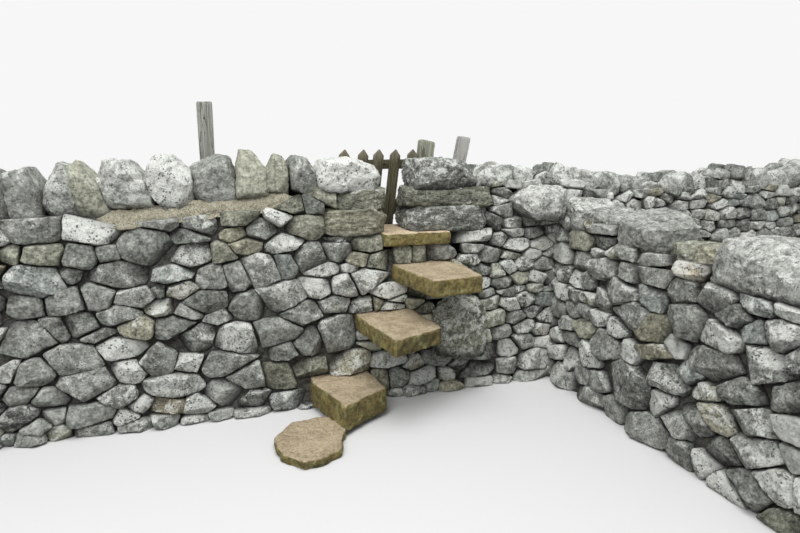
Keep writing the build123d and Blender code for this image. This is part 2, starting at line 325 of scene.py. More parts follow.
class Graph:
    """Short calls for the nodes of a material, a world or a node group."""

    def __init__(self, tree: NodeTree) -> None:
        """Works on a tree that may already hold nodes."""
        self.tree = tree

    def add(self, kind: str, **settings: object) -> Node:
        """A new node with its settings."""
        node = self.tree.nodes.new(kind)
        for key, value in settings.items():
            setattr(node, key, value)
        return node

    def feed(self, socket: Socket, value: object) -> None:
        """Links a socket to an output, or sets its value."""
        if isinstance(value, Socket):
            self.tree.links.new(value, socket)
        elif value is not None:
            socket.default_value = value

    def math(self, operation: str, first: object, second: object = None,
             clamp: bool = False) -> Socket:
        """A math node.

        Args:
            operation: the node's operation.
            first: its first input.
            second: its second input.
            clamp: whether to keep the result from 0 to 1.

        Returns:
            The node's output.
        """
        node = self.add("ShaderNodeMath", operation=operation, use_clamp=clamp)
        self.feed(node.inputs[0], first)
        self.feed(node.inputs[1], second)
        return node.outputs[0]

    def plus(self, first: object, second: object) -> Socket:
        """The sum of two values."""
        return self.math("ADD", first, second)

    def times(self, first: object, second: object) -> Socket:
        """The product of two values."""
        return self.math("MULTIPLY", first, second)

    def swing(self, value: object, middle: float, gain: float) -> Socket:
        """How far a value is from a middle, times a gain."""
        return self.times(self.math("SUBTRACT", value, middle), gain)

    def spread(self, value: object, low: object, high: object, out_low: object = 0.0,
               out_high: object = 1.0) -> Socket:
        """Maps a value smoothly from one range to another.

        Args:
            value: what to map.
            low: value that gives out_low.
            high: value that gives out_high.
            out_low: first result.
            out_high: second result.

        Returns:
            The mapped value.
        """
        node = self.add("ShaderNodeMapRange", interpolation_type="SMOOTHSTEP")
        for socket, number in zip(node.inputs[:5], (value, low, high, out_low, out_high)):
            self.feed(socket, number)
        return node.outputs[0]

    def mix(self, factor: object, first: object, second: object, blend: str = "MIX") -> Socket:
        """Mixes two colours.

        Args:
            factor: share of the second.
            first: first colour.
            second: second colour.
            blend: how they mix.

        Returns:
            The mixed colour.
        """
        node = self.add("ShaderNodeMix", data_type="RGBA", blend_type=blend)
        self.feed(node.inputs[0], factor)
        for socket, colour in ((node.inputs[6], first), (node.inputs[7], second)):
            self.feed(socket, (*colour, 1.0) if isinstance(colour, tuple) else colour)
        return node.outputs[2]

    def over(self, colour: object, mask: object, strength: object, other: object) -> Socket:
        """A colour with another laid over it where a mask is 1."""
        return self.mix(self.times(mask, strength), colour, other)

    def ramp(self, value: object, stops: tuple[tuple[float, Colour], ...],
             interpolation: str = "LINEAR") -> Socket:
        """Colours by value.

        Args:
            value: where on the ramp.
            stops: place and colour of each stop.
            interpolation: how colours run between stops.

        Returns:
            The colour.
        """
        node = self.add("ShaderNodeValToRGB")
        node.color_ramp.interpolation = interpolation
        elements = node.color_ramp.elements
        while len(elements) < len(stops):
            elements.new(1.0)
        for element, (place, colour) in zip(elements, stops):
            element.position = place
            element.color = (*colour, 1.0)
        self.feed(node.inputs[0], value)
        return node.outputs[0]

    def noise(self, vector: object, scale: object, detail: float = 4.0,
              roughness: float = 0.55, distortion: float = 0.0) -> Socket:
        """Layered noise.

        Args:
            vector: where to read it.
            scale: lumps a metre.
            detail: layers.
            roughness: strength of the fine layers.
            distortion: how far it is stirred.

        Returns:
            A value of about 0.25 to 0.75.
        """
        node = self.add("ShaderNodeTexNoise")
        for name, value in (("Vector", vector), ("Scale", scale), ("Detail", detail),
                            ("Roughness", roughness), ("Distortion", distortion)):
            self.feed(node.inputs[name], value)
        return node.outputs[0]

    def stretched(self, vector: object, factors: Point3) -> Socket:
        """A vector with each of its parts multiplied by its own factor."""
        node = self.add("ShaderNodeVectorMath", operation="MULTIPLY")
        self.feed(node.inputs[0], vector)
        node.inputs[1].default_value = factors
        return node.outputs[0]

    def parts(self, vector: object) -> bpy.types.bpy_prop_collection:
        """The three parts of a vector."""
        node = self.add("ShaderNodeSeparateXYZ")
        self.feed(node.inputs[0], vector)
        return node.outputs

    def show(self, kind: str, factor: object, first: Node, second: Node) -> None:
        """Ends the graph at an output node that shows two shaders mixed by a factor."""
        both = self.add("ShaderNodeMixShader")
        for socket, value in zip(both.inputs, (factor, first.outputs[0], second.outputs[0])):
            self.feed(socket, value)
        self.feed(self.add(kind).inputs["Surface"], both.outputs[0])

    def facing(self) -> bpy.types.bpy_prop_collection:
        """The three parts of the surface's normal."""
        return self.parts(self.add("ShaderNodeNewGeometry").outputs["Normal"])

    def use(self, group: NodeTree, **inputs: object) -> Socket:
        """The first output of a node group with its inputs set or linked."""
        node = self.add("ShaderNodeGroup", node_tree=group)
        for key, value in inputs.items():
            self.feed(node.inputs[key], value)
        return node.outputs[0]


def emptied(owner: bpy.types.ID) -> Graph:
    """The graph of a material or a world, with no nodes in it yet."""
    owner.use_nodes = True
    owner.node_tree.nodes.clear()
    return Graph(owner.node_tree)


def new_group(name: str, inputs: tuple[str, ...], outputs: tuple[str, ...]) -> tuple:
    """Starts a shader node group.

    Args:
        name: what to call it.
        inputs: input names; "Vector" is a vector and the others are values.
        outputs: names of the values that it gives.

    Returns:
        The group, its graph, the values that it is given and the sockets of those it gives.
    """
    group = bpy.data.node_groups.new(name, "ShaderNodeTree")
    for label in inputs:
        kind = "NodeSocketVector" if label == "Vector" else "NodeSocketFloat"
        group.interface.new_socket(label, in_out="INPUT", socket_type=kind)
    for label in outputs:
        group.interface.new_socket(label, in_out="OUTPUT", socket_type="NodeSocketFloat")
    graph = Graph(group)
    return group, graph, graph.add("NodeGroupInput").outputs, graph.add("NodeGroupOutput").inputs


def mottle_group() -> NodeTree:
    """Slow patches and fine grit: Value is about 0 to 1 round 0.5."""
    group, graph, given, gives = new_group("mottle", ("Vector", "Scale"), ("Value",))
    slow = graph.noise(given["Vector"], given["Scale"], 5.0, 0.6, 0.4)
    fine = graph.noise(given["Vector"], graph.times(given["Scale"], 6.0), 4.0, 0.7)
    both = graph.plus(graph.times(slow, 0.6), graph.times(fine, 0.4))
    graph.feed(gives["Value"], graph.spread(both, 0.3, 0.7))
    return group


def lichen_group() -> NodeTree:
    """Crusts with ragged edges: Mask is 1 on them. Amount 0 is none and 1 is nearly all."""
    group, graph, given, gives = new_group("lichen", ("Vector", "Amount", "Size"), ("Mask",))
    patches = graph.noise(given["Vector"], given["Size"], 3.0, 0.5, 0.6)
    ragged = graph.noise(given["Vector"], graph.times(given["Size"], 7.0), 5.0, 0.7)
    both = graph.plus(graph.times(patches, 0.62), graph.times(ragged, 0.38))
    edge = graph.math("SUBTRACT", 0.72, graph.times(given["Amount"], 0.4))
    graph.feed(gives["Mask"], graph.spread(both, edge, graph.plus(edge, 0.07)))
    return group


def speck_group() -> NodeTree:
    """Scattered spots: Mask is 1 on them. Spread is their share of a cell."""
    group, graph, given, gives = new_group("specks", ("Vector", "Scale", "Spread"), ("Mask",))
    cells = graph.add("ShaderNodeTexVoronoi", feature="F1")
    graph.feed(cells.inputs["Vector"], given["Vector"])
    graph.feed(cells.inputs["Scale"], given["Scale"])
    gate = graph.noise(given["Vector"], graph.times(given["Scale"], 0.3), 2.0)
    limit = graph.times(given["Spread"], graph.spread(gate, 0.35, 0.65))
    near = graph.spread(cells.outputs["Distance"], graph.times(limit, 0.6), limit, 1.0, 0.0)
    graph.feed(gives["Mask"], near)
    return group


def grain_group() -> NodeTree:
    """Timber whose grain runs along Z: Value is streaks, Crack is 1 in the shakes."""
    group, graph, given, gives = new_group("grain", ("Vector", "Scale"), ("Value", "Crack"))
    along = graph.stretched(given["Vector"], (1.0, 1.0, 0.035))
    streaks = graph.noise(along, given["Scale"], 6.0, 0.65, 0.5)
    shakes = graph.noise(along, graph.times(given["Scale"], 0.55), 3.0, 0.5, 1.2)
    graph.feed(gives["Value"], graph.spread(streaks, 0.3, 0.7))
    line = graph.math("ABSOLUTE", graph.math("SUBTRACT", shakes, 0.5))
    graph.feed(gives["Crack"], graph.spread(line, 0.0, 0.022, 1.0, 0.0))
    return group


MOTTLE = mottle_group()
LICHEN = lichen_group()
SPECKS = speck_group()
GRAIN = grain_group()


# Finishes

class Finish:
    """What every finish shares: a material with one principled shader, and its relief."""

    name: str
    roughness: float
    relief: float

    def material(self) -> Material:
        """Builds the material."""
        material = bpy.data.materials.new(self.name)
        graph = emptied(material)
        where = graph.add("ShaderNodeTexCoord").outputs["Object"]
        inputs, height = self.painted(graph, where)
        bump = graph.add("ShaderNodeBump")
        graph.feed(bump.inputs["Distance"], self.relief)
        graph.feed(bump.inputs["Height"], height)
        shader = graph.add("ShaderNodeBsdfPrincipled")
        plain = {"Roughness": self.roughness, "Specular IOR Level": 0.3, "Normal": bump.outputs[0]}
        for name, value in (plain | inputs).items():
            graph.feed(shader.inputs[name], value)
        output = graph.add("ShaderNodeOutputMaterial")
        graph.feed(output.inputs["Surface"], shader.outputs[0])
        return material

    def painted(self, graph: Graph, where: Socket) -> Paint:
        """The shader's inputs and the height, from object coordinates."""
        raise NotImplementedError


@dataclass(frozen=True)
class LimestoneFinish(Finish):
    """Weathered limestone: each stone has its own tone, tint and share of lichen, with painted
    shade in its joints.
    """

    name: str = "weathered limestone"
    dark: Colour = (0.075, 0.079, 0.071)
    middle: Colour = (0.28, 0.288, 0.26)
    light: Colour = (0.58, 0.59, 0.55)
    cool_tint: Colour = (0.965, 1.0, 1.02)
    olive_tint: Colour = (1.0, 0.99, 0.86)
    tan_tint: Colour = (1.06, 1.0, 0.83)
    brown_tint: Colour = (1.08, 0.94, 0.74)
    white_crust: Colour = (0.80, 0.81, 0.76)
    dark_crust: Colour = (0.04, 0.042, 0.037)
    ochre_crust: Colour = (0.33, 0.235, 0.10)
    # Colour of the painted shade deep in the joints and at the beds of loose stones
    joint_shade: Colour = (0.018, 0.017, 0.015)
    roughness: float = 0.92
    relief: float = 0.02
    bedding: float = 1.0

    def painted(self, graph: Graph, where: Socket) -> Paint:
        """The shader's inputs and the height, from object coordinates."""
        own = graph.add("ShaderNodeAttribute", attribute_name=STONE_ATTRIBUTE)
        split = graph.add("ShaderNodeSeparateColor")
        graph.feed(split.inputs[0], own.outputs["Color"])
        tone, crusted, family = split.outputs
        layers = graph.stretched(where, (1.0, 1.0, self.bedding))
        colour = self.bare_stone(graph, where, layers, tone, family)
        # More white crust on faces that look up: partly lichen, partly a painted highlight on the
        # tops
        skyward_crust_and_light = graph.spread(graph.facing()[2], -0.4, 0.9)
        amount = graph.plus(crusted, graph.times(skyward_crust_and_light, 0.16))
        white = graph.use(LICHEN, Vector=where, Amount=amount, Size=15.0)
        flecks = graph.use(LICHEN, Vector=where, Amount=graph.times(amount, 0.75), Size=44.0)
        broken = graph.spread(graph.noise(where, 130.0, 3.0, 0.7), 0.36, 0.56, 0.3, 1.0)
        black = graph.use(LICHEN, Vector=where, Amount=graph.plus(
            0.16, graph.times(crusted, 0.3)), Size=22.0)
        pits = graph.use(SPECKS, Vector=where, Scale=62.0, Spread=graph.plus(
            0.16, graph.times(crusted, 0.36)))
        rust = graph.use(LICHEN, Vector=where, Amount=0.08, Size=13.0)
        # The last layer, from the alpha of each stone's attribute, is painted shade deep in the
        # joints and at the beds of loose stones
        for mask, strength, crust in (
                (white, graph.times(broken, 0.85), self.white_crust),
                (flecks, 0.75, self.white_crust), (black, 0.7, self.dark_crust),
                (pits, 0.75, self.dark_crust), (rust, 0.4, self.ochre_crust),
                (own.outputs["Alpha"], 0.95, self.joint_shade)):
            colour = graph.over(colour, mask, strength, crust)
        height = graph.plus(graph.noise(layers, 40.0, 7.0, 0.7), graph.times(pits, -0.3))
        height = graph.plus(height, graph.times(white, 0.08))
        return {"Base Color": colour}, height

    def bare_stone(self, graph: Graph, where: Socket, layers: Socket, tone: Socket,
                   family: Socket) -> Socket:
        """The stone's own colour, before anything grows on it.

        Args:
            graph: the material's graph.
            where: object coordinates.
            layers: the same, flattened to the bedding.
            tone: how light the stone is.
            family: its place on the tint ramp.

        Returns:
            The colour.
        """
        uneven = graph.swing(graph.use(MOTTLE, Vector=layers, Scale=9.0), 0.5, 0.45)
        uneven = graph.plus(uneven, graph.swing(graph.noise(layers, 30.0, 3.0, 0.6, 0.3), 0.5, 1.5))
        uneven = graph.plus(uneven, graph.swing(graph.noise(where, 75.0, 4.0, 0.75), 0.5, 1.7))
        colour = graph.ramp(graph.plus(tone, uneven), (
            (0.0, self.dark), (0.5, self.middle), (1.0, self.light)))
        tint = graph.ramp(family, (
            (0.0, (1.0, 1.0, 1.0)), (0.2, self.cool_tint), (0.4, self.olive_tint),
            (0.6, self.tan_tint), (0.8, self.brown_tint)), "CONSTANT")
        return graph.mix(1.0, colour, tint, "MULTIPLY")


@dataclass(frozen=True)
class StepFinish(Finish):
    """Worn sandy slab: a pinkish-brown tread with ochre and olive edges."""

    name: str = "worn step slab"
    tread: Colour = (0.25, 0.195, 0.12)
    tread_pale: Colour = (0.55, 0.45, 0.31)
    edge: Colour = (0.27, 0.218, 0.083)
    edge_olive: Colour = (0.36, 0.335, 0.145)
    # Colour of the grime streaks, stains and pits, and of the painted shade on right-facing sides
    grime_and_shade: Colour = (0.05, 0.042, 0.022)
    # How much painted shade darkens the sides that face right
    right_side_shade: float = 0.0
    roughness: float = 0.88
    relief: float = 0.016

    def painted(self, graph: Graph, where: Socket) -> Paint:
        """The shader's inputs and the height, from object coordinates."""
        facing = graph.facing()
        upward = graph.plus(facing[2], graph.swing(graph.noise(where, 30.0, 4.0), 0.5, 0.5))
        patches = graph.times(graph.use(MOTTLE, Vector=where, Scale=8.0), 0.8)
        scuffs = graph.swing(graph.noise(where, 70.0, 5.0, 0.75), 0.42, 2.4)
        worn = graph.math("ADD", patches, scuffs, clamp=True)
        tread = graph.mix(worn, self.tread, self.tread_pale)
        algae = graph.use(LICHEN, Vector=where, Amount=0.5, Size=9.0)
        side = graph.mix(algae, self.edge, self.edge_olive)
        streak = graph.noise(where, 26.0, 6.0, 0.7)
        side = graph.mix(graph.spread(streak, 0.36, 0.6, 0.66, 0.0), side, self.grime_and_shade)
        # Painted shade on the sides that face right
        side = graph.mix(graph.spread(facing[0], 0.1, 0.6, 0.0, self.right_side_shade), side, self.grime_and_shade)
        colour = graph.mix(graph.spread(upward, 0.45, 0.85), side, tread)
        stain = graph.use(LICHEN, Vector=where, Amount=0.3, Size=14.0)
        pits = graph.use(SPECKS, Vector=where, Scale=140.0, Spread=0.4)
        colour = graph.over(colour, stain, 0.35, self.grime_and_shade)
        colour = graph.over(colour, pits, 0.45, self.grime_and_shade)
        height = graph.plus(graph.noise(where, 55.0, 6.0, 0.6), graph.times(pits, -0.4))
        return {"Base Color": colour}, height


@dataclass(frozen=True)
class TimberFinish(Finish):
    """Weathered timber, its grain along a piece that leans to the right."""

    name: str
    fresh: Colour
    worn: Colour
    algae: Colour
    algae_amount: float
    lean: float = 0.0
    tip: float = 9.0
    tip_reach: float = 0.09
    bleached: Colour = (0.27, 0.235, 0.17)
    shake: Colour = (0.015, 0.013, 0.01)
    roughness: float = 0.85
    relief: float = 0.0025

    def painted(self, graph: Graph, where: Socket) -> Paint:
        """The shader's inputs and the height, from object coordinates."""
        turned = graph.add("ShaderNodeMapping", vector_type="POINT")
        turned.inputs["Rotation"].default_value = (0.0, -math.radians(self.lean), 0.0)
        graph.feed(turned.inputs["Vector"], where)
        streaks = graph.use(GRAIN, Vector=turned.outputs[0], Scale=85.0)
        shakes = streaks.node.outputs["Crack"]
        colour = graph.mix(streaks, self.fresh, self.worn)
        patch = graph.use(MOTTLE, Vector=where, Scale=14.0)
        colour = graph.over(colour, patch, 0.35, self.worn)
        green = graph.use(LICHEN, Vector=where, Amount=self.algae_amount, Size=24.0)
        colour = graph.over(colour, green, 0.7, self.algae)
        bare = graph.spread(graph.parts(where)[2], self.tip - self.tip_reach, self.tip)
        colour = graph.over(colour, bare, graph.spread(patch, 0.0, 1.0, 0.45, 1.0), self.bleached)
        colour = graph.over(colour, shakes, 0.85, self.shake)
        return {"Base Color": colour}, graph.math("SUBTRACT", streaks, shakes)


@dataclass(frozen=True)
class RustFinish(Finish):
    """Old wrought iron, brown with rust."""

    name: str = "rusted iron"
    dark: Colour = (0.045, 0.028, 0.02)
    rust: Colour = (0.20, 0.085, 0.035)
    roughness: float = 0.8
    metallic: float = 0.25
    relief: float = 0.0012

    def painted(self, graph: Graph, where: Socket) -> Paint:
        """The shader's inputs and the height, from object coordinates."""
        mottle = graph.use(MOTTLE, Vector=where, Scale=70.0)
        return {"Base Color": graph.mix(mottle, self.dark, self.rust),
                "Roughness": graph.spread(mottle, 0.0, 1.0, 0.55, 0.95),
                "Metallic": self.metallic}, graph.noise(where, 260.0, 4.0)


@dataclass(frozen=True)
class SoilFinish(Finish):
    """Dry soil and dead moss on the wall top."""

    name: str = "wall-top soil"
    soil: Colour = (0.17, 0.145, 0.095)
    straw: Colour = (0.72, 0.68, 0.52)
    moss: Colour = (0.12, 0.125, 0.04)
    roughness: float = 0.98
    relief: float = 0.02

    def painted(self, graph: Graph, where: Socket) -> Paint:
        """The shader's inputs and the height, from object coordinates."""
        patches = graph.times(graph.use(MOTTLE, Vector=where, Scale=24.0), 0.5)
        fibres = graph.noise(where, 85.0, 5.0, 0.85, 1.5)
        dry = graph.math("ADD", patches, graph.spread(fibres, 0.38, 0.62, -0.15, 0.85), clamp=True)
        moss = graph.use(LICHEN, Vector=where, Amount=0.28, Size=16.0)
        colour = graph.over(graph.mix(dry, self.soil, self.straw), moss, 0.8, self.moss)
        return {"Base Color": colour}, fibres


@dataclass(frozen=True)
class HeartingFinish(Finish):
    """The packing seen deep in the joints, its near-black colours painted shade of those deep
    joints.
    """

    name: str = "wall hearting in painted shade"
    # Both colours are darkened as painted shade
    deep: Colour = (0.022, 0.021, 0.018)
    pale: Colour = (0.15, 0.147, 0.132)
    roughness: float = 0.98
    relief: float = 0.02

    def painted(self, graph: Graph, where: Socket) -> Paint:
        """The shader's inputs and the height, from object coordinates."""
        colour = graph.mix(graph.use(MOTTLE, Vector=where, Scale=26.0), self.deep, self.pale)
        return {"Base Color": colour}, graph.noise(where, 60.0, 4.0)


# Stones

@dataclass(frozen=True)
class StoneLook:
    """Colour of one stone: tone and lichen from 0 to 1, and its colour family."""

    tone: float = 0.5
    lichen: float = 0.3
    tint: Tint = Tint.GREY


class StoneMould:
    """A ball of triangles that stones are drawn out from."""

    def __init__(self, cuts: int, forward: float = 0.0) -> None:
        """Makes the ball from an icosahedron.

        Args:
            cuts: how often each of its edges is cut.
            forward: how much of its detail is gathered to its front, from 0 to under 1.
        """
        deselect_all()
        bpy.ops.mesh.primitive_ico_sphere_add(subdivisions=1, radius=1.0)
        ball = bpy.context.active_object
        with editing(ball):
            bpy.ops.mesh.subdivide(number_cuts=cuts)
        places = coordinates(ball.data)
        places = places / np.linalg.norm(places, axis=1)[:, None] + np.array([0.0, 0.0, forward])
        self.directions = places / np.linalg.norm(places, axis=1)[:, None]
        self.triangles = triangles_of(ball.data)
        discard(ball)

    def drawn(self, normals: Array, reaches: Array, extent: Array,
              crispness: float) -> tuple[Array, Array]:
        """Draws the ball out to a set of planes, with rounded arrises between them.

        Args:
            normals: outward direction of each plane, one a row.
            reaches: distance of each plane from the centre.
            extent: half sizes of the stone, which spread the vertices evenly.
            crispness: how sharp the arrises are.

        Returns:
            Places about the centre, and the outward direction at each.
        """
        directions = self.directions * extent
        directions = directions / np.linalg.norm(directions, axis=1)[:, None]
        towards = np.maximum(directions @ normals.T, 0.0) / reaches
        nearest = towards.max(axis=1)
        total = np.power(towards / nearest[:, None], crispness).sum(axis=1)
        blend = np.power(total, -1.0 / crispness)
        return directions * (blend / nearest)[:, None], directions


# Width of the broken ridges and of the grit on every stone, in metres
RIDGE_WAVE = 0.042
GRIT_WAVE = 0.02


@dataclass
class StonePile:
    """Stones gathered up to become one mesh."""

    mould: StoneMould
    stones: list[Array] = field(default_factory=list)

    def add(self, places: Array, outwards: Array, size: float, look: StoneLook,
            painted_shade: Array, rng: Generator) -> None:
        """Adds one stone.

        Args:
            places: its vertices.
            outwards: the direction at each vertex.
            size: its mean half size, which its lumps are in proportion to.
            look: its colour.
            painted_shade: how much painted shade each vertex gets, deep in the joints and at a
                stone's bed.
            rng: source of its own share of the noise.
        """
        own = [*rng.uniform(-50, 50, 3), size, look.tone, look.lichen, look.tint.value]
        self.stones.append(np.column_stack([
            places, outwards, np.tile(own, (len(places), 1)), painted_shade]))

    def finished(self, name: str, lumps: float, grit: float, wave: float = 0.07) -> Object:
        """Joins the stones to one mesh and roughens them.

        Args:
            name: what to call it.
            lumps: height of the large lumps as a share of a stone's half size.
            grit: height of the small ones in metres.
            wave: width of the large lumps in metres.

        Returns:
            The object.
        """
        rows = np.vstack(self.stones)
        places, outwards, offsets, sizes = rows[:, :3], rows[:, 3:6], rows[:, 6:9], rows[:, 9]
        own = places + offsets
        large = rough_noise(own, wave, 3, 3) * lumps * sizes
        broken = 0.5 - np.abs(rough_noise(own, RIDGE_WAVE, 2, 19)) * 1.6
        small = rough_noise(own, GRIT_WAVE, 2, 11)
        places = places + outwards * (large + (broken + small) * grit)[:, None]
        places[:, 2] = np.maximum(places[:, 2], 0.0)
        step = len(self.mould.directions)
        thing = new_object(name, places, np.vstack([
            self.mould.triangles + index * step for index in range(len(self.stones))]))
        layer = thing.data.color_attributes.new(STONE_ATTRIBUTE, "FLOAT_COLOR", "POINT")
        layer.data.foreach_set("color", rows[:, 10:].astype(np.float32).ravel())
        smooth_shade(thing, 33)
        return thing


def chipped(normals: Array, reaches: Array, corners: Array, count: int,
            bite: Point2, rng: Generator) -> tuple[Array, Array]:
    """Adds planes that knock corners off a stone.

    Args:
        normals: its planes' outward directions.
        reaches: their distances from the centre.
        corners: its corners about the centre.
        count: how many chips.
        bite: least and most that a chip takes, as a share of the reach there.
        rng: source of the chips.

    Returns:
        All the planes' directions and distances.
    """
    for _ in range(count):
        towards = rng.normal(size=3)
        towards /= np.linalg.norm(towards)
        support = float((corners @ towards).max())
        normals = np.vstack([normals, towards])
        reaches = np.append(reaches, support * (1.0 - rng.uniform(*bite)))
    return normals, reaches


# Outlines in a wall face

# Smallest overlap, stone and breadth of a stone worth cutting, in square metres and metres
LEAST_OVERLAP = 2e-5
LEAST_AREA = 0.0011
LEAST_BREADTH = 0.027
# Least distance from a stone's middle to its side, and how far behind a face solids are cut
LEAST_REACH = 0.008
CUT_DEPTH = 0.02
# A bed's neighbours: how many may share a joint with it, and from how far
NEIGHBOURS = 25
NEIGHBOUR_REACH = 0.6
# Share of a new bed's size that named stones keep clear, and how far below a solid's top the
# space starts that is kept clear above it
CLEAR_SHARE = 0.75
CAP_BITE = 0.02
# How often loose beds shift towards the middle of their gaps, and by what share of the way
SHIFTS = 3
SHIFT_SHARE = 0.7


def rectangle(left: float, low: float, right: float, high: float) -> Polygon:
    """An upright rectangle, anticlockwise from its low left corner."""
    return [(left, low), (right, low), (right, high), (left, high)]


def mirrored(polygon: Polygon) -> Polygon:
    """A polygon as it lies across the other face of the wall."""
    return [(-x, z) for x, z in reversed(polygon)]


def turned(points: Array, angle: float) -> Array:
    """Points of a plane turned anticlockwise about its origin by an angle in radians."""
    along, aside = math.cos(angle), math.sin(angle)
    return points @ np.array([[along, aside], [-aside, along]])


def sides_of(polygon: Polygon) -> Iterator[tuple[Point2, Point2]]:
    """The two ends of each side of a polygon."""
    return zip(polygon, polygon[1:] + polygon[:1])


def area_of(polygon: Polygon) -> float:
    """Area inside a polygon that runs anticlockwise."""
    total = 0.0
    for (ax, ay), (bx, by) in sides_of(polygon):
        total += ax * by - bx * ay
    return total / 2.0


def centre_of(polygon: Polygon) -> Point2:
    """Centre of a polygon's area."""
    total, sum_x, sum_y = 0.0, 0.0, 0.0
    for (ax, ay), (bx, by) in sides_of(polygon):
        cross = ax * by - bx * ay
        total += cross
        sum_x += (ax + bx) * cross
        sum_y += (ay + by) * cross
    return sum_x / (3.0 * total), sum_y / (3.0 * total)


def clipped(polygon: Polygon, across: float, up: float, reach: float) -> Polygon:
    """Keeps the part of a convex polygon behind a line.

    Args:
        polygon: the polygon.
        across: first part of the line's outward direction.
        up: second part of it.
        reach: the line's distance from the origin in that direction.

    Returns:
        What is left, which may be empty.
    """
    kept: Polygon = []
    for (ax, ay), (bx, by) in sides_of(polygon):
        depth_a = ax * across + ay * up - reach
        depth_b = bx * across + by * up - reach
        if depth_a <= 0.0:
            kept.append((ax, ay))
        if (depth_a < 0.0 < depth_b) or (depth_b < 0.0 < depth_a):
            share = depth_a / (depth_a - depth_b)
            kept.append((ax + share * (bx - ax), ay + share * (by - ay)))
    return kept


def outward_lines(polygon: Polygon) -> list[Point3]:
    """Each side of a polygon that runs anticlockwise, as an outward direction and a reach."""
    lines = []
    for (ax, ay), (bx, by) in sides_of(polygon):
        length = math.hypot(bx - ax, by - ay)
        if length > 1e-6:
            across, up = (by - ay) / length, (ax - bx) / length
            lines.append((across, up, across * ax + up * ay))
    return lines


def clear_of(polygon: Polygon, obstacle: Polygon, centre: Point2) -> Polygon:
    """Cuts a stone's outline back to clear an obstacle.

    Args:
        polygon: the stone's outline.
        obstacle: what it must clear.
        centre: the stone's middle, which stays in where it can.

    Returns:
        The most of the outline that lies to one side of the obstacle.
    """
    inside = polygon
    for line in outward_lines(obstacle):
        inside = clipped(inside, *line)
        if len(inside) < 3:
            return polygon
    if area_of(inside) < LEAST_OVERLAP:
        return polygon
    best: Polygon = []
    best_score = (False, 0.0)
    for across, up, reach in outward_lines(obstacle):
        rest = clipped(polygon, -across, -up, -reach)
        if len(rest) > 2:
            score = (across * centre[0] + up * centre[1] > reach, area_of(rest))
            if score > best_score:
                best, best_score = rest, score
    return best


# Stones of a wall face

@dataclass
class Bed:
    """A stone's place in a wall face, before its outline is known."""

    across: float
    up: float
    wide: float
    high: float
    tilt: float = 0.0
    look: StoneLook | None = None

    def reach(self, across: float, up: float) -> float:
        """How far the stone reaches in a direction, as an ellipse."""
        turn = math.radians(self.tilt)
        along = across * math.cos(turn) + up * math.sin(turn)
        aside = up * math.cos(turn) - across * math.sin(turn)
        length = math.hypot(along, aside) or 1.0
        return length / math.hypot(2.0 * along / self.wide, 2.0 * aside / self.high)


@dataclass(frozen=True)
class Masonry:
    """How one wall's stones are sized, shaped and coloured."""

    wide: Point2 = (0.06, 0.195)
    high: Point2 = (0.045, 0.108)
    row_high: Point2 = (0.6, 1.35)
    row_lift: Point2 = (0.1, 0.9)
    tilt: float = 18.0
    base_growth: float = 1.35
    base_top: float = 0.3
    flatness: float = 1.7
    joint: Point2 = (-0.002, 0.0065)
    depth: float = 0.12
    front: Point2 = (0.026, 0.05)
    front_share: float = 0.55
    proud: Point2 = (-0.02, 0.018)
    crispness: Point2 = (70.0, 240.0)
    face_tilt: float = 0.25
    face_rise: float = 0.04
    facets: int = 3
    facet_reach: Point2 = (0.2, 0.85)
    slope: Point2 = (0.3, 1.05)
    side_lean: float = 0.25
    corner_cut: Point2 = (-0.08, 0.17)
    least_cut: float = 0.02
    cut_lean: float = 0.35
    cut_skew: float = 35.0
    turn: float = 4.5
    chips: int = 4
    bite: Point2 = (0.03, 0.18)
    lumps: float = 0.055
    grit: float = 0.0036
    tone: Point2 = (0.52, 0.19)
    lichen: Point2 = (0.42, 0.26)
    tint_shares: tuple[float, ...] = (0.78, 0.07, 0.09, 0.05, 0.01)
    # How far behind the face the painted shade of the joints starts and deepens, and how far from a
    # free end it is kept off and fades back in
    shade_from: float = 0.018
    shade_fade: float = 0.04
    end_clear: float = 0.02
    end_fade: float = 0.08


@dataclass(frozen=True)
class Eye:
    """The camera's place and lens, which turn a pixel of the photograph into a place."""

    place: Point3 = (-1.171, -3.781, 1.6)
    pitch: float = 11.7
    turn: float = 18.0
    lens: float = 28.0
    film: float = 36.0
    frame_wide: float = 800.0
    frame_high: float = 533.0

    def ray(self, across: float, down: float) -> Array:
        """The direction in which a pixel looks."""
        reach = self.lens / self.film * self.frame_wide
        right, rise = across - self.frame_wide / 2, self.frame_high / 2 - down
        pitch, turn = math.radians(self.pitch), math.radians(self.turn)
        level = reach * math.cos(pitch) + rise * math.sin(pitch)
        up = rise * math.cos(pitch) - reach * math.sin(pitch)
        return np.array([
            right * math.cos(turn) + level * math.sin(turn),
            level * math.cos(turn) - right * math.sin(turn), up])


@dataclass(frozen=True)
class SeenStone:
    """A stone that stands out in the photograph: its middle and size in pixels, and its look."""

    across: float
    down: float
    wide: float
    high: float
    tilt: float
    tone: float
    lichen: float
    tint: Tint = Tint.GREY

    def bed_in(self, face: "WallFace") -> Bed:
        """Its bed in a wall face, found from the camera."""
        across, down, aside, rise = self.across, self.down, self.wide / 2, self.high / 2
        middle = face.seen_at(across, down)
        wide = face.seen_at(across + aside, down)[0] - face.seen_at(across - aside, down)[0]
        high = face.seen_at(across, down - rise)[1] - face.seen_at(across, down + rise)[1]
        return Bed(*middle, wide, high, self.tilt, StoneLook(self.tone, self.lichen, self.tint))


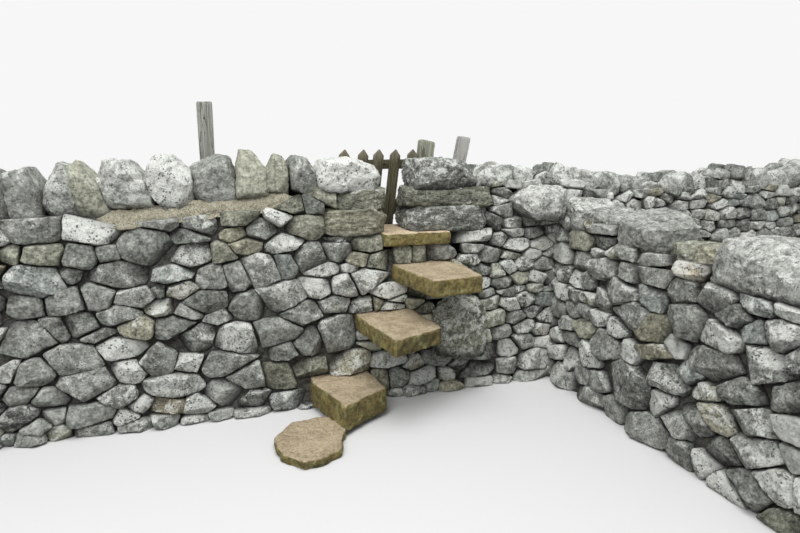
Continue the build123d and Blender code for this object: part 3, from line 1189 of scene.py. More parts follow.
# Stones that stand out in the photograph, each by its middle and size in pixels
MAIN_STONES = tuple(SeenStone(*row) for row in (
    (29, 231, 50, 29, -5, 0.5, 0.35), (94, 229, 52, 34, 0, 0.72, 0.8),
    (146, 247, 54, 40, 0, 0.36, 0.05), (35, 283, 70, 33, 3, 0.58, 0.4, Tint.COOL),
    (121, 276, 55, 27, -4, 0.5, 0.42), (79, 258, 36, 26, 0, 0.44, 0.12),
    (40, 255, 42, 20, 0, 0.46, 0.2, Tint.OLIVE), (107, 254, 22, 15, -8, 0.42, 0.15),
    (98, 298, 32, 29, 5, 0.55, 0.3), (133, 299, 38, 20, -8, 0.62, 0.5),
    (63, 303, 36, 28, 12, 0.5, 0.2), (23, 306, 33, 17, 0, 0.42, 0.15),
    (121, 315, 43, 17, 4, 0.5, 0.4), (27, 339, 55, 22, 4, 0.55, 0.35),
    (80, 325, 29, 28, 0, 0.48, 0.2), (55, 330, 20, 23, -10, 0.5, 0.3),
    (139, 329, 31, 22, 0, 0.55, 0.4, Tint.TAN), (170, 328, 29, 23, -8, 0.42, 0.2),
    (193, 256, 38, 23, 0, 0.4, 0.55), (222, 254, 22, 19, 0, 0.5, 0.1, Tint.OLIVE),
    (247, 246, 36, 13, 4, 0.55, 0.1, Tint.TAN), (212, 277, 27, 24, -12, 0.5, 0.45),
    (236, 274, 23, 29, -8, 0.5, 0.3), (263, 269, 31, 26, 12, 0.55, 0.45),
    (286, 265, 18, 21, 0, 0.4, 0.03, Tint.COOL), (202, 302, 26, 23, 0, 0.32, 0.02),
    (286, 297, 45, 23, 8, 0.52, 0.45), (254, 307, 24, 21, 0, 0.42, 0.08),
    (195, 342, 40, 26, 0, 0.55, 0.5), (237, 342, 43, 20, 14, 0.62, 0.6),
    (273, 335, 34, 27, 8, 0.5, 0.1), (312, 258, 32, 23, 5, 0.5, 0.4),
    (340, 252, 27, 18, 0, 0.52, 0.4), (369, 246, 31, 21, 10, 0.46, 0.3, Tint.OLIVE),
    (319, 289, 28, 20, 0, 0.62, 0.6), (344, 286, 24, 20, 10, 0.6, 0.5),
    (367, 280, 26, 20, 12, 0.58, 0.5), (335, 304, 33, 15, 4, 0.46, 0.3),
    (307, 311, 31, 20, 8, 0.45, 0.3), (225, 364, 45, 24, 0, 0.5, 0.35),
    (189, 363, 27, 19, 0, 0.7, 0.6), (121, 351, 40, 27, 0, 0.7, 0.7),
    (126, 372, 31, 29, 0, 0.75, 0.7), (77, 364, 50, 29, 6, 0.55, 0.4),
    (88, 383, 56, 38, 14, 0.55, 0.4), (34, 377, 41, 18, 8, 0.5, 0.3),
    (5, 376, 19, 26, 0, 0.68, 0.6), (159, 362, 34, 32, 0, 0.45, 0.35),
    (177, 385, 48, 22, 4, 0.62, 0.55), (339, 339, 30, 34, -4, 0.46, 0.35),
    (313, 345, 23, 26, 0, 0.42, 0.1), (352, 361, 36, 22, 0, 0.55, 0.45, Tint.TAN),
    (309, 368, 30, 22, 0, 0.42, 0.15, Tint.OLIVE), (279, 374, 31, 24, 0, 0.4, 0.12, Tint.OLIVE),
    (305, 226, 29, 21, 0, 0.5, 0.15, Tint.OLIVE), (259, 232, 26, 18, 0, 0.5, 0.4),
    (233, 221, 32, 14, 0, 0.4, 0.1, Tint.OLIVE), (236, 234, 19, 16, 0, 0.48, 0.08, Tint.TAN),
    (200, 223, 40, 17, 6, 0.5, 0.5), (161, 224, 34, 13, 0, 0.45, 0.2),
    (186, 237, 34, 14, -4, 0.4, 0.15), (283, 245, 40, 16, 6, 0.68, 0.7),
    (362, 258, 31, 15, 6, 0.45, 0.2, Tint.TAN), (378, 260, 33, 16, 0, 0.5, 0.4, Tint.OLIVE),
    (9, 255, 18, 23, 0, 0.45, 0.2, Tint.OLIVE), (68, 275, 20, 18, 0, 0.45, 0.2),
    (404, 256, 17, 13, 0, 0.46, 0.05, Tint.OLIVE), (421, 255, 13, 12, 0, 0.46, 0.1, Tint.OLIVE),
    (446, 253, 38, 13, 0, 0.42, 0.2), (474, 235, 44, 20, 20, 0.5, 0.7),
    (472, 248, 15, 13, 0, 0.6, 0.4),
))
CROSS_STONES = tuple(SeenStone(*row) for row in (
    (648, 253, 34, 26, 0, 0.72, 0.35), (649, 277, 37, 20, 0, 0.5, 0.35),
    (648, 298, 26, 24, 0, 0.42, 0.25, Tint.COOL), (616, 290, 36, 23, 0, 0.48, 0.5),
    (684, 320, 38, 32, -10, 0.46, 0.12), (646, 328, 33, 32, 40, 0.38, 0.1, Tint.TAN),
    (650, 351, 27, 16, 0, 0.45, 0.3, Tint.TAN), (714, 336, 43, 27, 0, 0.6, 0.65),
    (747, 332, 22, 31, 0, 0.58, 0.25, Tint.COOL), (774, 335, 27, 31, 0, 0.5, 0.5),
    (710, 301, 36, 31, 0, 0.5, 0.35), (729, 316, 34, 20, 0, 0.3, 0.08),
    (786, 305, 35, 29, 10, 0.7, 0.6), (710, 364, 47, 31, 0, 0.42, 0.3),
    (756, 362, 45, 37, 0, 0.4, 0.6), (657, 377, 35, 27, 0, 0.45, 0.5),
    (622, 382, 41, 42, 0, 0.36, 0.4), (602, 345, 31, 25, 0, 0.42, 0.4),
    (550, 304, 24, 22, -28, 0.62, 0.3), (602, 267, 26, 19, 0, 0.55, 0.4),
    (621, 272, 20, 20, 0, 0.48, 0.3), (577, 242, 23, 18, 0, 0.46, 0.2, Tint.OLIVE),
    (549, 230, 34, 18, -6, 0.4, 0.35), (692, 421, 24, 39, 0, 0.45, 0.35),
    (743, 423, 39, 31, 0, 0.52, 0.4), (750, 451, 43, 36, 0, 0.55, 0.5),
    (784, 400, 35, 37, 0, 0.5, 0.4), (731, 392, 31, 29, 0, 0.4, 0.4),
    (631, 317, 41, 27, 0, 0.45, 0.45), (676, 293, 33, 22, 0, 0.4, 0.4),
))


@dataclass
class WallFace:
    """One face of a wall, filled with fitted rubble."""

    start: Point3
    inward: tuple[int, int, int]
    outline: Polygon
    masonry: Masonry
    seed: int
    batter: float = BATTER
    obstacles: list[Polygon] = field(default_factory=list)
    seen: tuple[SeenStone, ...] = ()
    rougher: Masonry | None = None
    rougher_from: float = 0.0
    warm_at: Point2 = (0.0, 0.9)
    warm_reach: float = 0.0
    ends: tuple[float, ...] = ()

    def __post_init__(self) -> None:
        """Works out the face's own directions."""
        self.origin = np.array(self.start)
        self.u_axis = np.array([self.inward[1], -self.inward[0], 0])
        self.rise = np.array(self.inward) * self.batter + np.array([0.0, 0.0, 1.0])
        self.v_axis = self.rise / np.linalg.norm(self.rise)
        self.n_axis = np.cross(self.u_axis, self.v_axis)
        self.rng = np.random.default_rng(self.seed)
        self.named = [stone.bed_in(self) for stone in self.seen]

    def world(self, across: float, up: float, out: float) -> Array:
        """The place of a point of the face: across it, at a height, and out from it."""
        return self.origin + self.u_axis * across + self.rise * up + self.n_axis * out

    def local(self, places: Array) -> Array:
        """Places as across, height and out."""
        relative = places - self.origin
        out = relative @ self.n_axis
        flat = relative - np.outer(out, self.n_axis)
        return np.column_stack([flat @ self.u_axis, flat[:, 2], out])

    def seen_at(self, across: float, down: float) -> Point2:
        """The place across the face, and its height, that a pixel shows."""
        eye = Eye()
        ray = eye.ray(across, down)
        start = np.array(eye.place)
        share = ((self.origin - start) @ self.n_axis) / (ray @ self.n_axis)
        flat = self.local((start + ray * share)[None, :])[0]
        return float(flat[0]), float(flat[1])

    def masonry_at(self, across: float) -> Masonry:
        """The masonry of a stretch of the face."""
        return self.rougher if self.rougher and across > self.rougher_from else self.masonry

    def section(self, node: str) -> Polygon | None:
        """The rectangle that a construction solid takes up just behind the face.

        Args:
            node: the solid.

        Returns:
            The rectangle, or None where the solid doesn't reach the face.
        """
        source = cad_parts[node]
        shape = bmesh.new()
        shape.from_mesh(source.data)
        shape.transform(source.matrix_world)
        cut = bmesh.ops.bisect_plane(
            shape, geom=shape.verts[:] + shape.edges[:] + shape.faces[:],
            plane_co=Vector(self.world(0.0, 0.0, -CUT_DEPTH)),
            plane_no=Vector(self.n_axis))["geom_cut"]
        places = [tuple(item.co) for item in cut if isinstance(item, bmesh.types.BMVert)]
        shape.free()
        if len(places) < 3:
            return None
        flat = self.local(np.array(places))[:, :2]
        return rectangle(*flat.min(axis=0), *flat.max(axis=0))

    def avoid(self, *nodes: str) -> None:
        """Keeps the stones clear of the construction solids that come through the face."""
        self.obstacles += [shape for shape in map(self.section, nodes) if shape]

    def keep_clear_above(self, *nodes: str) -> None:
        """Lays no stones on top of the construction solids that come through the face."""
        for shape in filter(None, map(self.section, nodes)):
            (left, _), _, (right, top), _ = shape
            self.obstacles.append(rectangle(left, top - CAP_BITE, right, SKY))

    def blocked(self, across: float, up: float) -> bool:
        """Whether a point is inside an obstacle or outside the face."""
        for obstacle in self.obstacles:
            if all(a * across + b * up < reach for a, b, reach in outward_lines(obstacle)):
                return True
        return any(a * across + b * up > reach for a, b, reach in outward_lines(self.outline))

    def scattered(self) -> list[Bed]:
        """Rough rows of beds over the face, round the named stones and the obstacles."""
        rng, masonry = self.rng, self.masonry
        left, right = min(x for x, _ in self.outline), max(x for x, _ in self.outline)
        top = max(z for _, z in self.outline)
        beds = list(self.named)
        up = 0.0
        while up < top + 0.06:
            low_down = max(0.0, 1.0 - up / masonry.base_top)
            growth = 1.0 + (masonry.base_growth - 1.0) * low_down
            row = rng.uniform(*masonry.high) * growth
            across = left - rng.uniform(0.0, 0.1)
            while across < right + 0.1:
                wide = rng.uniform(*self.masonry_at(across).wide) * growth
                high = row * rng.uniform(*masonry.row_high)
                place = (across + wide / 2, up + row * rng.uniform(*masonry.row_lift))
                across += wide
                if not self.blocked(*place) and not self.taken(*place, wide, high):
                    tilt = rng.uniform(-masonry.tilt, masonry.tilt)
                    beds.append(Bed(*place, wide, high, tilt))
            up += row
        return beds

    def taken(self, across: float, up: float, wide: float, high: float) -> bool:
        """Whether a bed of a size would lie on a named stone."""
        return any(
            math.hypot((across - bed.across) / (bed.wide + wide * CLEAR_SHARE) * 2.0,
                       (up - bed.up) / (bed.high + high * CLEAR_SHARE) * 2.0) < 1.0
            for bed in self.named)

    def outlines(self, beds: list[Bed]) -> list[Polygon]:
        """Each bed's outline, shared with its neighbours by the size of each.

        Args:
            beds: the beds.

        Returns:
            One convex polygon a bed, some of them empty.
        """
        flat = self.masonry.flatness ** 2
        centres = np.array([(bed.across, bed.up) for bed in beds])
        result = []
        for index, bed in enumerate(beds):
            size = max(bed.wide, bed.high) * 1.1
            polygon = rectangle(
                bed.across - size, bed.up - size, bed.across + size, bed.up + size)
            for line in outward_lines(self.outline):
                polygon = clipped(polygon, *line)
            gaps = centres - centres[index]
            for other in np.argsort((gaps ** 2).sum(axis=1))[1:NEIGHBOURS + 1]:
                run, rise = gaps[other]
                if math.hypot(run, rise) > NEIGHBOUR_REACH or len(polygon) < 3:
                    continue
                mine, theirs = bed.reach(run, rise), beds[other].reach(run, rise)
                share = mine / (mine + theirs)
                length = math.hypot(run / flat, rise)
                across, up = run / flat / length, rise / length
                reach = across * (bed.across + run * share) + up * (bed.up + rise * share)
                polygon = clipped(polygon, across, up, reach)
            for obstacle in self.obstacles:
                if len(polygon) > 2:
                    polygon = clear_of(polygon, obstacle, (bed.across, bed.up))
            result.append(polygon if self.worth_laying(polygon) else [])
        return result

    @staticmethod
    def worth_laying(polygon: Polygon) -> bool:
        """Whether an outline is big enough for a stone, and not a sliver."""
        if len(polygon) < 3 or area_of(polygon) < LEAST_AREA:
            return False
        longest = float(np.ptp(np.array(polygon), axis=0).max())
        return area_of(polygon) / longest > LEAST_BREADTH

    def fitted(self) -> list[tuple[Bed, Polygon]]:
        """Beds and outlines after the loose beds have shifted into the gaps."""
        beds = self.scattered()
        for _ in range(SHIFTS):
            for bed, polygon in zip(beds, self.outlines(beds)):
                if bed.look is None and polygon:
                    middle = centre_of(polygon)
                    bed.across += SHIFT_SHARE * (middle[0] - bed.across)
                    bed.up += SHIFT_SHARE * (middle[1] - bed.up)
        return [(bed, polygon) for bed, polygon in zip(beds, self.outlines(beds)) if polygon]

    def look_for(self, bed: Bed) -> StoneLook:
        """A stone's colour: its own where it is named, or one from the masonry's range."""
        if bed.look:
            return bed.look
        masonry, rng = self.masonry_at(bed.across), self.rng
        tint = list(Tint)[rng.choice(len(masonry.tint_shares), p=masonry.tint_shares)]
        away = math.hypot(bed.across - self.warm_at[0], bed.up - self.warm_at[1])
        if away < self.warm_reach * rng.uniform(0.2, 1.0) and rng.random() < 0.5:
            tint = Tint.OLIVE if rng.random() < 0.6 else Tint.TAN
        tone = float(np.clip(rng.normal(*masonry.tone), 0.1, 0.95))
        lichen = float(np.clip(rng.normal(*masonry.lichen), 0.0, 0.95))
        return StoneLook(tone, lichen, tint)

    def side_planes(self, span: Array, masonry: Masonry) -> Planes:
        """The planes of a stone's sides, and of the cuts that take off its corners.

        Args:
            span: the stone's outline about its middle.
            masonry: how the stone is shaped.

        Returns:
            Each plane's direction and how far it reaches across the face.
        """
        rng, planes = self.rng, []
        for across, up, reach in outward_lines([(float(x), float(z)) for x, z in span]):
            lean = rng.uniform(0.0, masonry.side_lean)
            reach = max(reach - rng.uniform(*masonry.joint), LEAST_REACH)
            planes.append(((across, up, lean), reach))
        for corner in span:
            cut = rng.uniform(*masonry.corner_cut)
            if cut > masonry.least_cut:
                skew = math.radians(rng.uniform(-masonry.cut_skew, masonry.cut_skew))
                aside = turned(corner, skew) / float(np.hypot(*corner))
                lean = rng.uniform(0.0, masonry.cut_lean)
                reach = max(float((span @ aside).max()) * (1.0 - cut), LEAST_REACH)
                planes.append(((aside[0], aside[1], lean), reach))
        return planes

    def front_planes(self, span: Array, masonry: Masonry, front: float) -> Planes:
        """The planes of a stone's split front, and the one of its back.

        Args:
            span: the stone's outline about its middle.
            masonry: how the stone is shaped.
            front: how far its front is from its middle.

        Returns:
            Each plane's direction and how far it reaches times that direction's length.
        """
        rng, tilt = self.rng, masonry.face_tilt
        aside, rise = rng.normal() * tilt, rng.normal() * tilt + masonry.face_rise
        planes = [((aside, rise, 1.0), front), ((0.0, 0.0, -1.0), masonry.depth - front)]
        first = rng.uniform(0.0, math.tau)
        for facet in range(masonry.facets):
            turn = first + math.tau * (facet + rng.uniform(-0.3, 0.3)) / masonry.facets
            aside = np.array([math.cos(turn), math.sin(turn)])
            slope = rng.uniform(*masonry.slope)
            edge = float((span @ aside).max()) * rng.uniform(*masonry.facet_reach)
            planes.append(((aside[0] * slope, aside[1] * slope, 1.0), front + slope * edge))
        return planes

    def fill(self, pile: StonePile, bed: Bed, polygon: Polygon) -> None:
        """Cuts one stone to its outline and lays it in the face.

        Args:
            pile: where the stone goes.
            bed: its bed.
            polygon: its outline.
        """
        rng, masonry = self.rng, self.masonry_at(bed.across)
        look = self.look_for(bed)
        middle = centre_of(polygon)
        turn = math.radians(rng.uniform(-masonry.turn, masonry.turn))
        span = turned(np.array(polygon) - middle, turn)
        half_wide, half_high = float(np.ptp(span[:, 0])) / 2, float(np.ptp(span[:, 1])) / 2
        size = (half_wide + half_high) / 2
        shallow, deep = masonry.front
        front = min(max(masonry.front_share * size, shallow), deep)
        sides = self.side_planes(span, masonry)
        planes = sides + self.front_planes(span, masonry, front)
        normals = np.array([direction for direction, _ in planes])
        lengths = np.linalg.norm(normals, axis=1)
        normals = normals / lengths[:, None]
        reaches = np.array([reach for _, reach in planes])
        reaches[len(sides):] /= lengths[len(sides):]
        corners = np.vstack([
            np.column_stack([span, np.full(len(span), end)])
            for end in (front, front - masonry.depth)])
        chips = max(0, int(round(masonry.chips * rng.uniform(0.5, 1.3))))
        normals, reaches = chipped(normals, reaches, corners, chips, masonry.bite, rng)
        axes = np.vstack([self.u_axis, self.v_axis, self.n_axis])
        extent = np.array([half_wide, half_high, masonry.depth / 2])
        crispness = rng.uniform(*masonry.crispness)
        places, outwards = pile.mould.drawn(normals, reaches, extent, crispness)
        out = rng.uniform(*masonry.proud) - front
        # Painted shade: darker the deeper a vertex lies behind the face, and none at the wall's
        # free ends
        behind = -(places[:, 2] + out)
        painted_shade = np.clip((behind - masonry.shade_from) / masonry.shade_fade, 0.0, 1.0)
        for end in self.ends:
            inward = np.abs(middle[0] + places[:, 0] - end)
            painted_shade *= np.clip((inward - masonry.end_clear) / masonry.end_fade, 0.0, 1.0)
        centre = self.world(middle[0], middle[1], out)
        pile.add(places @ axes + centre, outwards @ axes, size, look, painted_shade, rng)


@dataclass
class RubbleWall:
    """A wall of fitted stones, which stands for one construction solid."""

    node: str
    piles: list[tuple[StonePile, Masonry]] = field(default_factory=list)

    def build(self, finish: Material) -> None:
        """Joins the wall's piles of stones, each as rough as its masonry says."""
        stones = [pile.finished(f"{self.node}_stones_{index}", masonry.lumps, masonry.grit)
                  for index, (pile, masonry) in enumerate(self.piles)]
        wall, *others = stones
        pick(wall)
        for other in others:
            other.select_set(True)
        if others:
            bpy.ops.object.join()
        wall.name = f"{self.node}_stones"
        settle(wall, finish, "root", (self.node,))


# Loose stones from the solids

@dataclass(frozen=True)
class LooseShape:
    """How rough the loose stones of a construction solid are.

    Args:
        crispness: least and most sharpness of the arrises.
        chips: corners knocked off each stone.
        bite: least and most that a chip takes.
        swell: how much larger than the block's planes a stone is drawn.
        lumps: height of the large lumps as a share of a half size.
        grit: height of the small lumps in metres.
        wave: width of the large lumps in metres.
        shade_height: height above the bed that is darkened with painted shade.
        jostle: how many degrees a stone may be turned.
        parts: least and most stones that a block is broken into.
        cuts: planes that shape every stone, each a direction and its share of the reach there.
    """

    crispness: Point2
    chips: int
    bite: Point2
    swell: float
    lumps: float
    grit: float
    wave: float = 0.07
    shade_height: float = 0.05
    jostle: float = 0.0
    parts: tuple[int, int] = (1, 1)
    cuts: tuple[tuple[float, float, float, float], ...] = ()


@dataclass
class LooseStones:
    """The separate stones of one construction solid, made rough."""

    node: str
    mould: StoneMould
    seed: int
    shape: LooseShape

    def build(self, looks: tuple[StoneLook, ...], finish: Material) -> None:
        """Draws the stones and dresses them, their looks used in turn along the row."""
        pile = self.piled(looks)
        shape = self.shape
        piece = pile.finished(f"{self.node}_rough", shape.lumps, shape.grit, shape.wave)
        settle(piece, finish, "root", (self.node,))

    def blocks(self) -> list[Block]:
        """The solid's separate blocks, from left to right."""
        copy = merged_copy(self.node, f"{self.node}_blocks")
        shape = bmesh.new()
        shape.from_mesh(copy.data)
        discard(copy)
        blocks = sorted(self.split(shape), key=lambda block: tuple(np.round(block[0], 3)))
        shape.free()
        return blocks

    @staticmethod
    def split(shape: bmesh.types.BMesh) -> list[Block]:
        """Takes merged blocks apart.

        Args:
            shape: the merged blocks.

        Returns:
            Centre, plane directions, plane distances and corners about the centre, a block.
        """
        seen: set[int] = set()
        blocks = []
        shape.faces.ensure_lookup_table()
        for first in shape.faces:
            if first.index in seen:
                continue
            stack, faces = [first], []
            seen.add(first.index)
            while stack:
                face = stack.pop()
                faces.append(face)
                for other in (other for edge in face.edges for other in edge.link_faces):
                    if other.index not in seen:
                        seen.add(other.index)
                        stack.append(other)
            corners = np.array(sorted({
                tuple(vertex.co) for face in faces for vertex in face.verts}))
            centre = (corners.min(axis=0) + corners.max(axis=0)) / 2
            planes: dict[tuple, tuple[Array, float]] = {}
            for face in faces:
                if face.calc_area() < 1e-6:
                    continue
                normal = np.array(face.normal)
                reach = float(normal @ (np.array(face.calc_center_median()) - centre))
                if reach > 0.004:
                    planes[tuple(np.round(normal, 1))] = (normal, reach)
            normals, reaches = (np.array(values) for values in zip(*planes.values()))
            blocks.append((centre, normals, reaches, corners - centre))
        return blocks

    def broken(self, block: Block, parts: int, rng: Generator) -> list[Block]:
        """Breaks one block into smaller stones.

        Args:
            block: the block.
            parts: how many stones it makes.
            rng: source of the breaks.

        Returns:
            The stones as blocks, each with points inside it in place of its corners.
        """
        middle, normals, reaches, corners = block
        cloud = rng.uniform(corners.min(axis=0), corners.max(axis=0), (900, 3))
        cloud = cloud[(cloud @ normals.T < reaches).all(axis=1)]
        pieces = [(cloud, normals, reaches)]
        while len(pieces) < parts:
            pieces.sort(key=lambda piece: len(piece[0]))
            cloud, normals, reaches = pieces.pop()
            longest = np.eye(3)[int(np.argmax(np.ptp(cloud, axis=0)))]
            cut = longest + rng.normal(size=3) * 0.35
            cut /= np.linalg.norm(cut)
            limit = float(np.quantile(cloud @ cut, rng.uniform(0.38, 0.62)))
            below = cloud @ cut < limit
            for side, sign in ((below, 1.0), (~below, -1.0)):
                pieces.append((cloud[side], np.vstack([normals, sign * cut]),
                               np.append(reaches, sign * limit - 0.002)))
        stones = []
        for cloud, normals, reaches in pieces:
            centre = cloud.mean(axis=0)
            reaches = np.maximum(reaches - normals @ centre, 0.01)
            stones.append((middle + centre, normals, reaches, cloud - centre))
        return stones

    def piled(self, looks: tuple[StoneLook, ...]) -> StonePile:
        """Draws a rough stone out of each block, or several.

        Args:
            looks: colours, used in turn along the row.

        Returns:
            The pile of stones.
        """
        pile, shape = StonePile(self.mould), self.shape
        rng = np.random.default_rng(self.seed)
        stones = []
        for block in self.blocks():
            count = int(rng.integers(shape.parts[0], shape.parts[1] + 1))
            stones += [block] if count == 1 else self.broken(block, count, rng)
        for index, (centre, normals, reaches, corners) in enumerate(stones):
            reaches = reaches * shape.swell
            for *towards, share in shape.cuts:
                side = np.array(towards) / np.linalg.norm(towards)
                normals = np.vstack([normals, side])
                reaches = np.append(reaches, float((corners @ side).max()) * share)
            normals, reaches = chipped(
                normals, reaches, corners * shape.swell, shape.chips, shape.bite, rng)
            extent = np.ptp(corners, axis=0) / 2
            crispness = rng.uniform(*shape.crispness)
            places, outwards = self.mould.drawn(normals, reaches, extent, crispness)
            jostle = np.radians(rng.uniform(-shape.jostle, shape.jostle, 3))
            turn = np.array(Euler(jostle).to_matrix())
            places, outwards = places @ turn, outwards @ turn
            # Painted shade at the foot of each stone, where it sits on its bed
            level = (places[:, 2] - corners[:, 2].min()) / shape.shade_height
            painted_shade = np.clip(1.0 - level, 0.0, 1.0) * 0.8
            size = float(np.sort(extent)[:2].mean())
            pile.add(places + centre, outwards, size, looks[index % len(looks)], painted_shade, rng)
        return pile


# Worn solids

@dataclass
class WornSlab:
    """A slab whose arrises are worn round and whose faces are split rough."""

    node: str
    seed: int
    swell: float
    grit: float = 0.0035
    voxel: float = 0.0105
    rounding: int = 3

    def height(self, places: Array, normals: Array) -> Array:
        """How far each vertex is raised: less on the tread than on the sides."""
        level = np.abs(normals[:, 2])
        broad = rough_noise(places, 0.11, 3, self.seed) * self.swell * (1.25 - level)
        small = rough_noise(places, 0.035, 2, self.seed + 5) * self.grit * (1.5 - 0.8 * level)
        return broad + small

    def build(self, finish: Material) -> None:
        """Makes the slab from the construction solid and dresses it."""
        slab = merged_copy(self.node, f"{self.node}_worn")
        make_even(slab, self.voxel, self.rounding)
        roughen(slab, self.height, 50)
        settle(slab, finish, "root", (self.node,))


@dataclass
class WornTimber:
    """A piece of weathered timber: softened arrises and a raised grain."""

    node: str
    body: str
    slot: str
    voxel: float
    lean: float
    raised: float = 0.0009
    seed: int = 3

    def height(self, places: Array, _: Array) -> Array:
        """How far each vertex is raised, in streaks along the timber."""
        turn = math.radians(self.lean)
        along = places[:, 0] * math.sin(turn) + places[:, 2] * math.cos(turn)
        aside = places[:, 0] * math.cos(turn) - places[:, 2] * math.sin(turn)
        grain = np.column_stack([aside, places[:, 1], along * 0.06])
        raised = rough_noise(grain, 0.016, 2, self.seed) * self.raised
        warped = rough_noise(places, 0.25, 1, self.seed + 2) * self.raised * 1.5
        return raised + warped

    def build(self, finish: Material) -> None:
        """Makes the timber from the construction solid and dresses it."""
        timber = merged_copy(self.node, f"{self.node}_timber")
        make_even(timber, self.voxel, 1)
        roughen(timber, self.height, 40)
        settle(timber, finish, self.body, (self.node,))


def new_block(name: str) -> Object:
    """A cube from -1 to 1."""
    deselect_all()
    bpy.ops.mesh.primitive_cube_add(size=2.0)
    block = bpy.context.active_object
    block.name = name
    return block


# The stile's parts

@dataclass
class SoilBank:
    """Dry soil and straw on the front edge of the left wall's top, at the coping's foot."""

    start: float = -1.76
    end: float = -0.58
    drop: float = 0.04
    rise: float = 0.034
    back: float = -0.09
    taper: float = 0.16
    voxel: float = 0.0075
    front_bed: float = 0.016
    front_slope: float = 0.02
    crest_drop: float = 0.012
    sunk: float = 0.04
    clods: float = 0.02
    crumbs: float = 0.006
    wall_end: Point2 = (-2.4, 1.13)
    wall_flat: Point2 = (-0.395, 1.29)

    def wall_top(self, across: float) -> float:
        """Height of the left wall's body at a place along it."""
        share = (across - self.wall_end[0]) / (self.wall_flat[0] - self.wall_end[0])
        return self.wall_end[1] + min(share, 1.0) * (self.wall_flat[1] - self.wall_end[1])

    def strip(self) -> Polygon:
        """The part of the wall's front that the soil takes up."""
        left, right = self.start + self.taper, self.end - self.taper
        return [
            (left, self.wall_top(left) - self.drop), (right, self.wall_top(right) - self.drop),
            (self.end, self.wall_top(self.end) + 0.01), (self.end, SKY), (self.start, SKY),
            (self.start, self.wall_top(self.start) + 0.01)]

    def build(self, finish: Material) -> None:
        """Shapes the bank from a block and dresses it."""
        bank = new_block("soil_bank")
        with editing(bank):
            bpy.ops.mesh.subdivide(number_cuts=12)
        share, depth, level = (coordinates(bank.data).T + 1.0) / 2.0
        along = self.start + share * (self.end - self.start)
        top = np.array([self.wall_top(x) for x in along])
        inward = np.minimum(along - self.start, self.end - along)
        taper = np.clip(inward / self.taper, 0.0, 1.0)
        foot = top - self.drop * taper
        front = -half_at(foot) + self.front_bed + level * self.front_slope
        crest = foot - self.crest_drop + (self.drop + self.rise) * taper * np.sqrt(depth)
        move_vertices(bank.data, np.column_stack([
            along, front + depth * (self.back - front),
            foot - self.sunk + level * (crest - foot + self.sunk)]))
        make_even(bank, self.voxel)
        roughen(bank, lambda places, _: rough_noise(places, 0.09, 3, 61) * self.clods
                + rough_noise(places, 0.02, 2, 67) * self.crumbs, 60)
        settle(bank, finish, "root")


@dataclass
class Packing:
    """A block of packing between a wall's faces.

    It has its ends at the foot and at the top, its height at each end and, where it runs
    along the cross wall, that wall's centre line.
    """

    name: str
    low: Point2
    high: Point2
    tops: Point2
    middle: float | None = None

    def build(self, finish: Material) -> None:
        """Shapes the block from a cube and dresses it."""
        block = new_block(self.name)
        places = coordinates(block.data)
        for row in places:
            upper, end = row[2] > 0, int(row[0] > 0)
            height = self.tops[end] if upper else 0.0
            along = (self.high if upper else self.low)[end]
            aside = math.copysign(half_at(height) - PACKING_INSET, row[1])
            row[:] = ((along, aside, height) if self.middle is None
                      else (self.middle + aside, -along, height))
        move_vertices(block.data, places)
        with editing(block):
            bpy.ops.mesh.normals_make_consistent(inside=False)
            bpy.ops.mesh.subdivide(number_cuts=8)
        roughen(block, lambda places, _: rough_noise(places, 0.12, 2, 7) * 0.012, 60)
        settle(block, finish, "root")


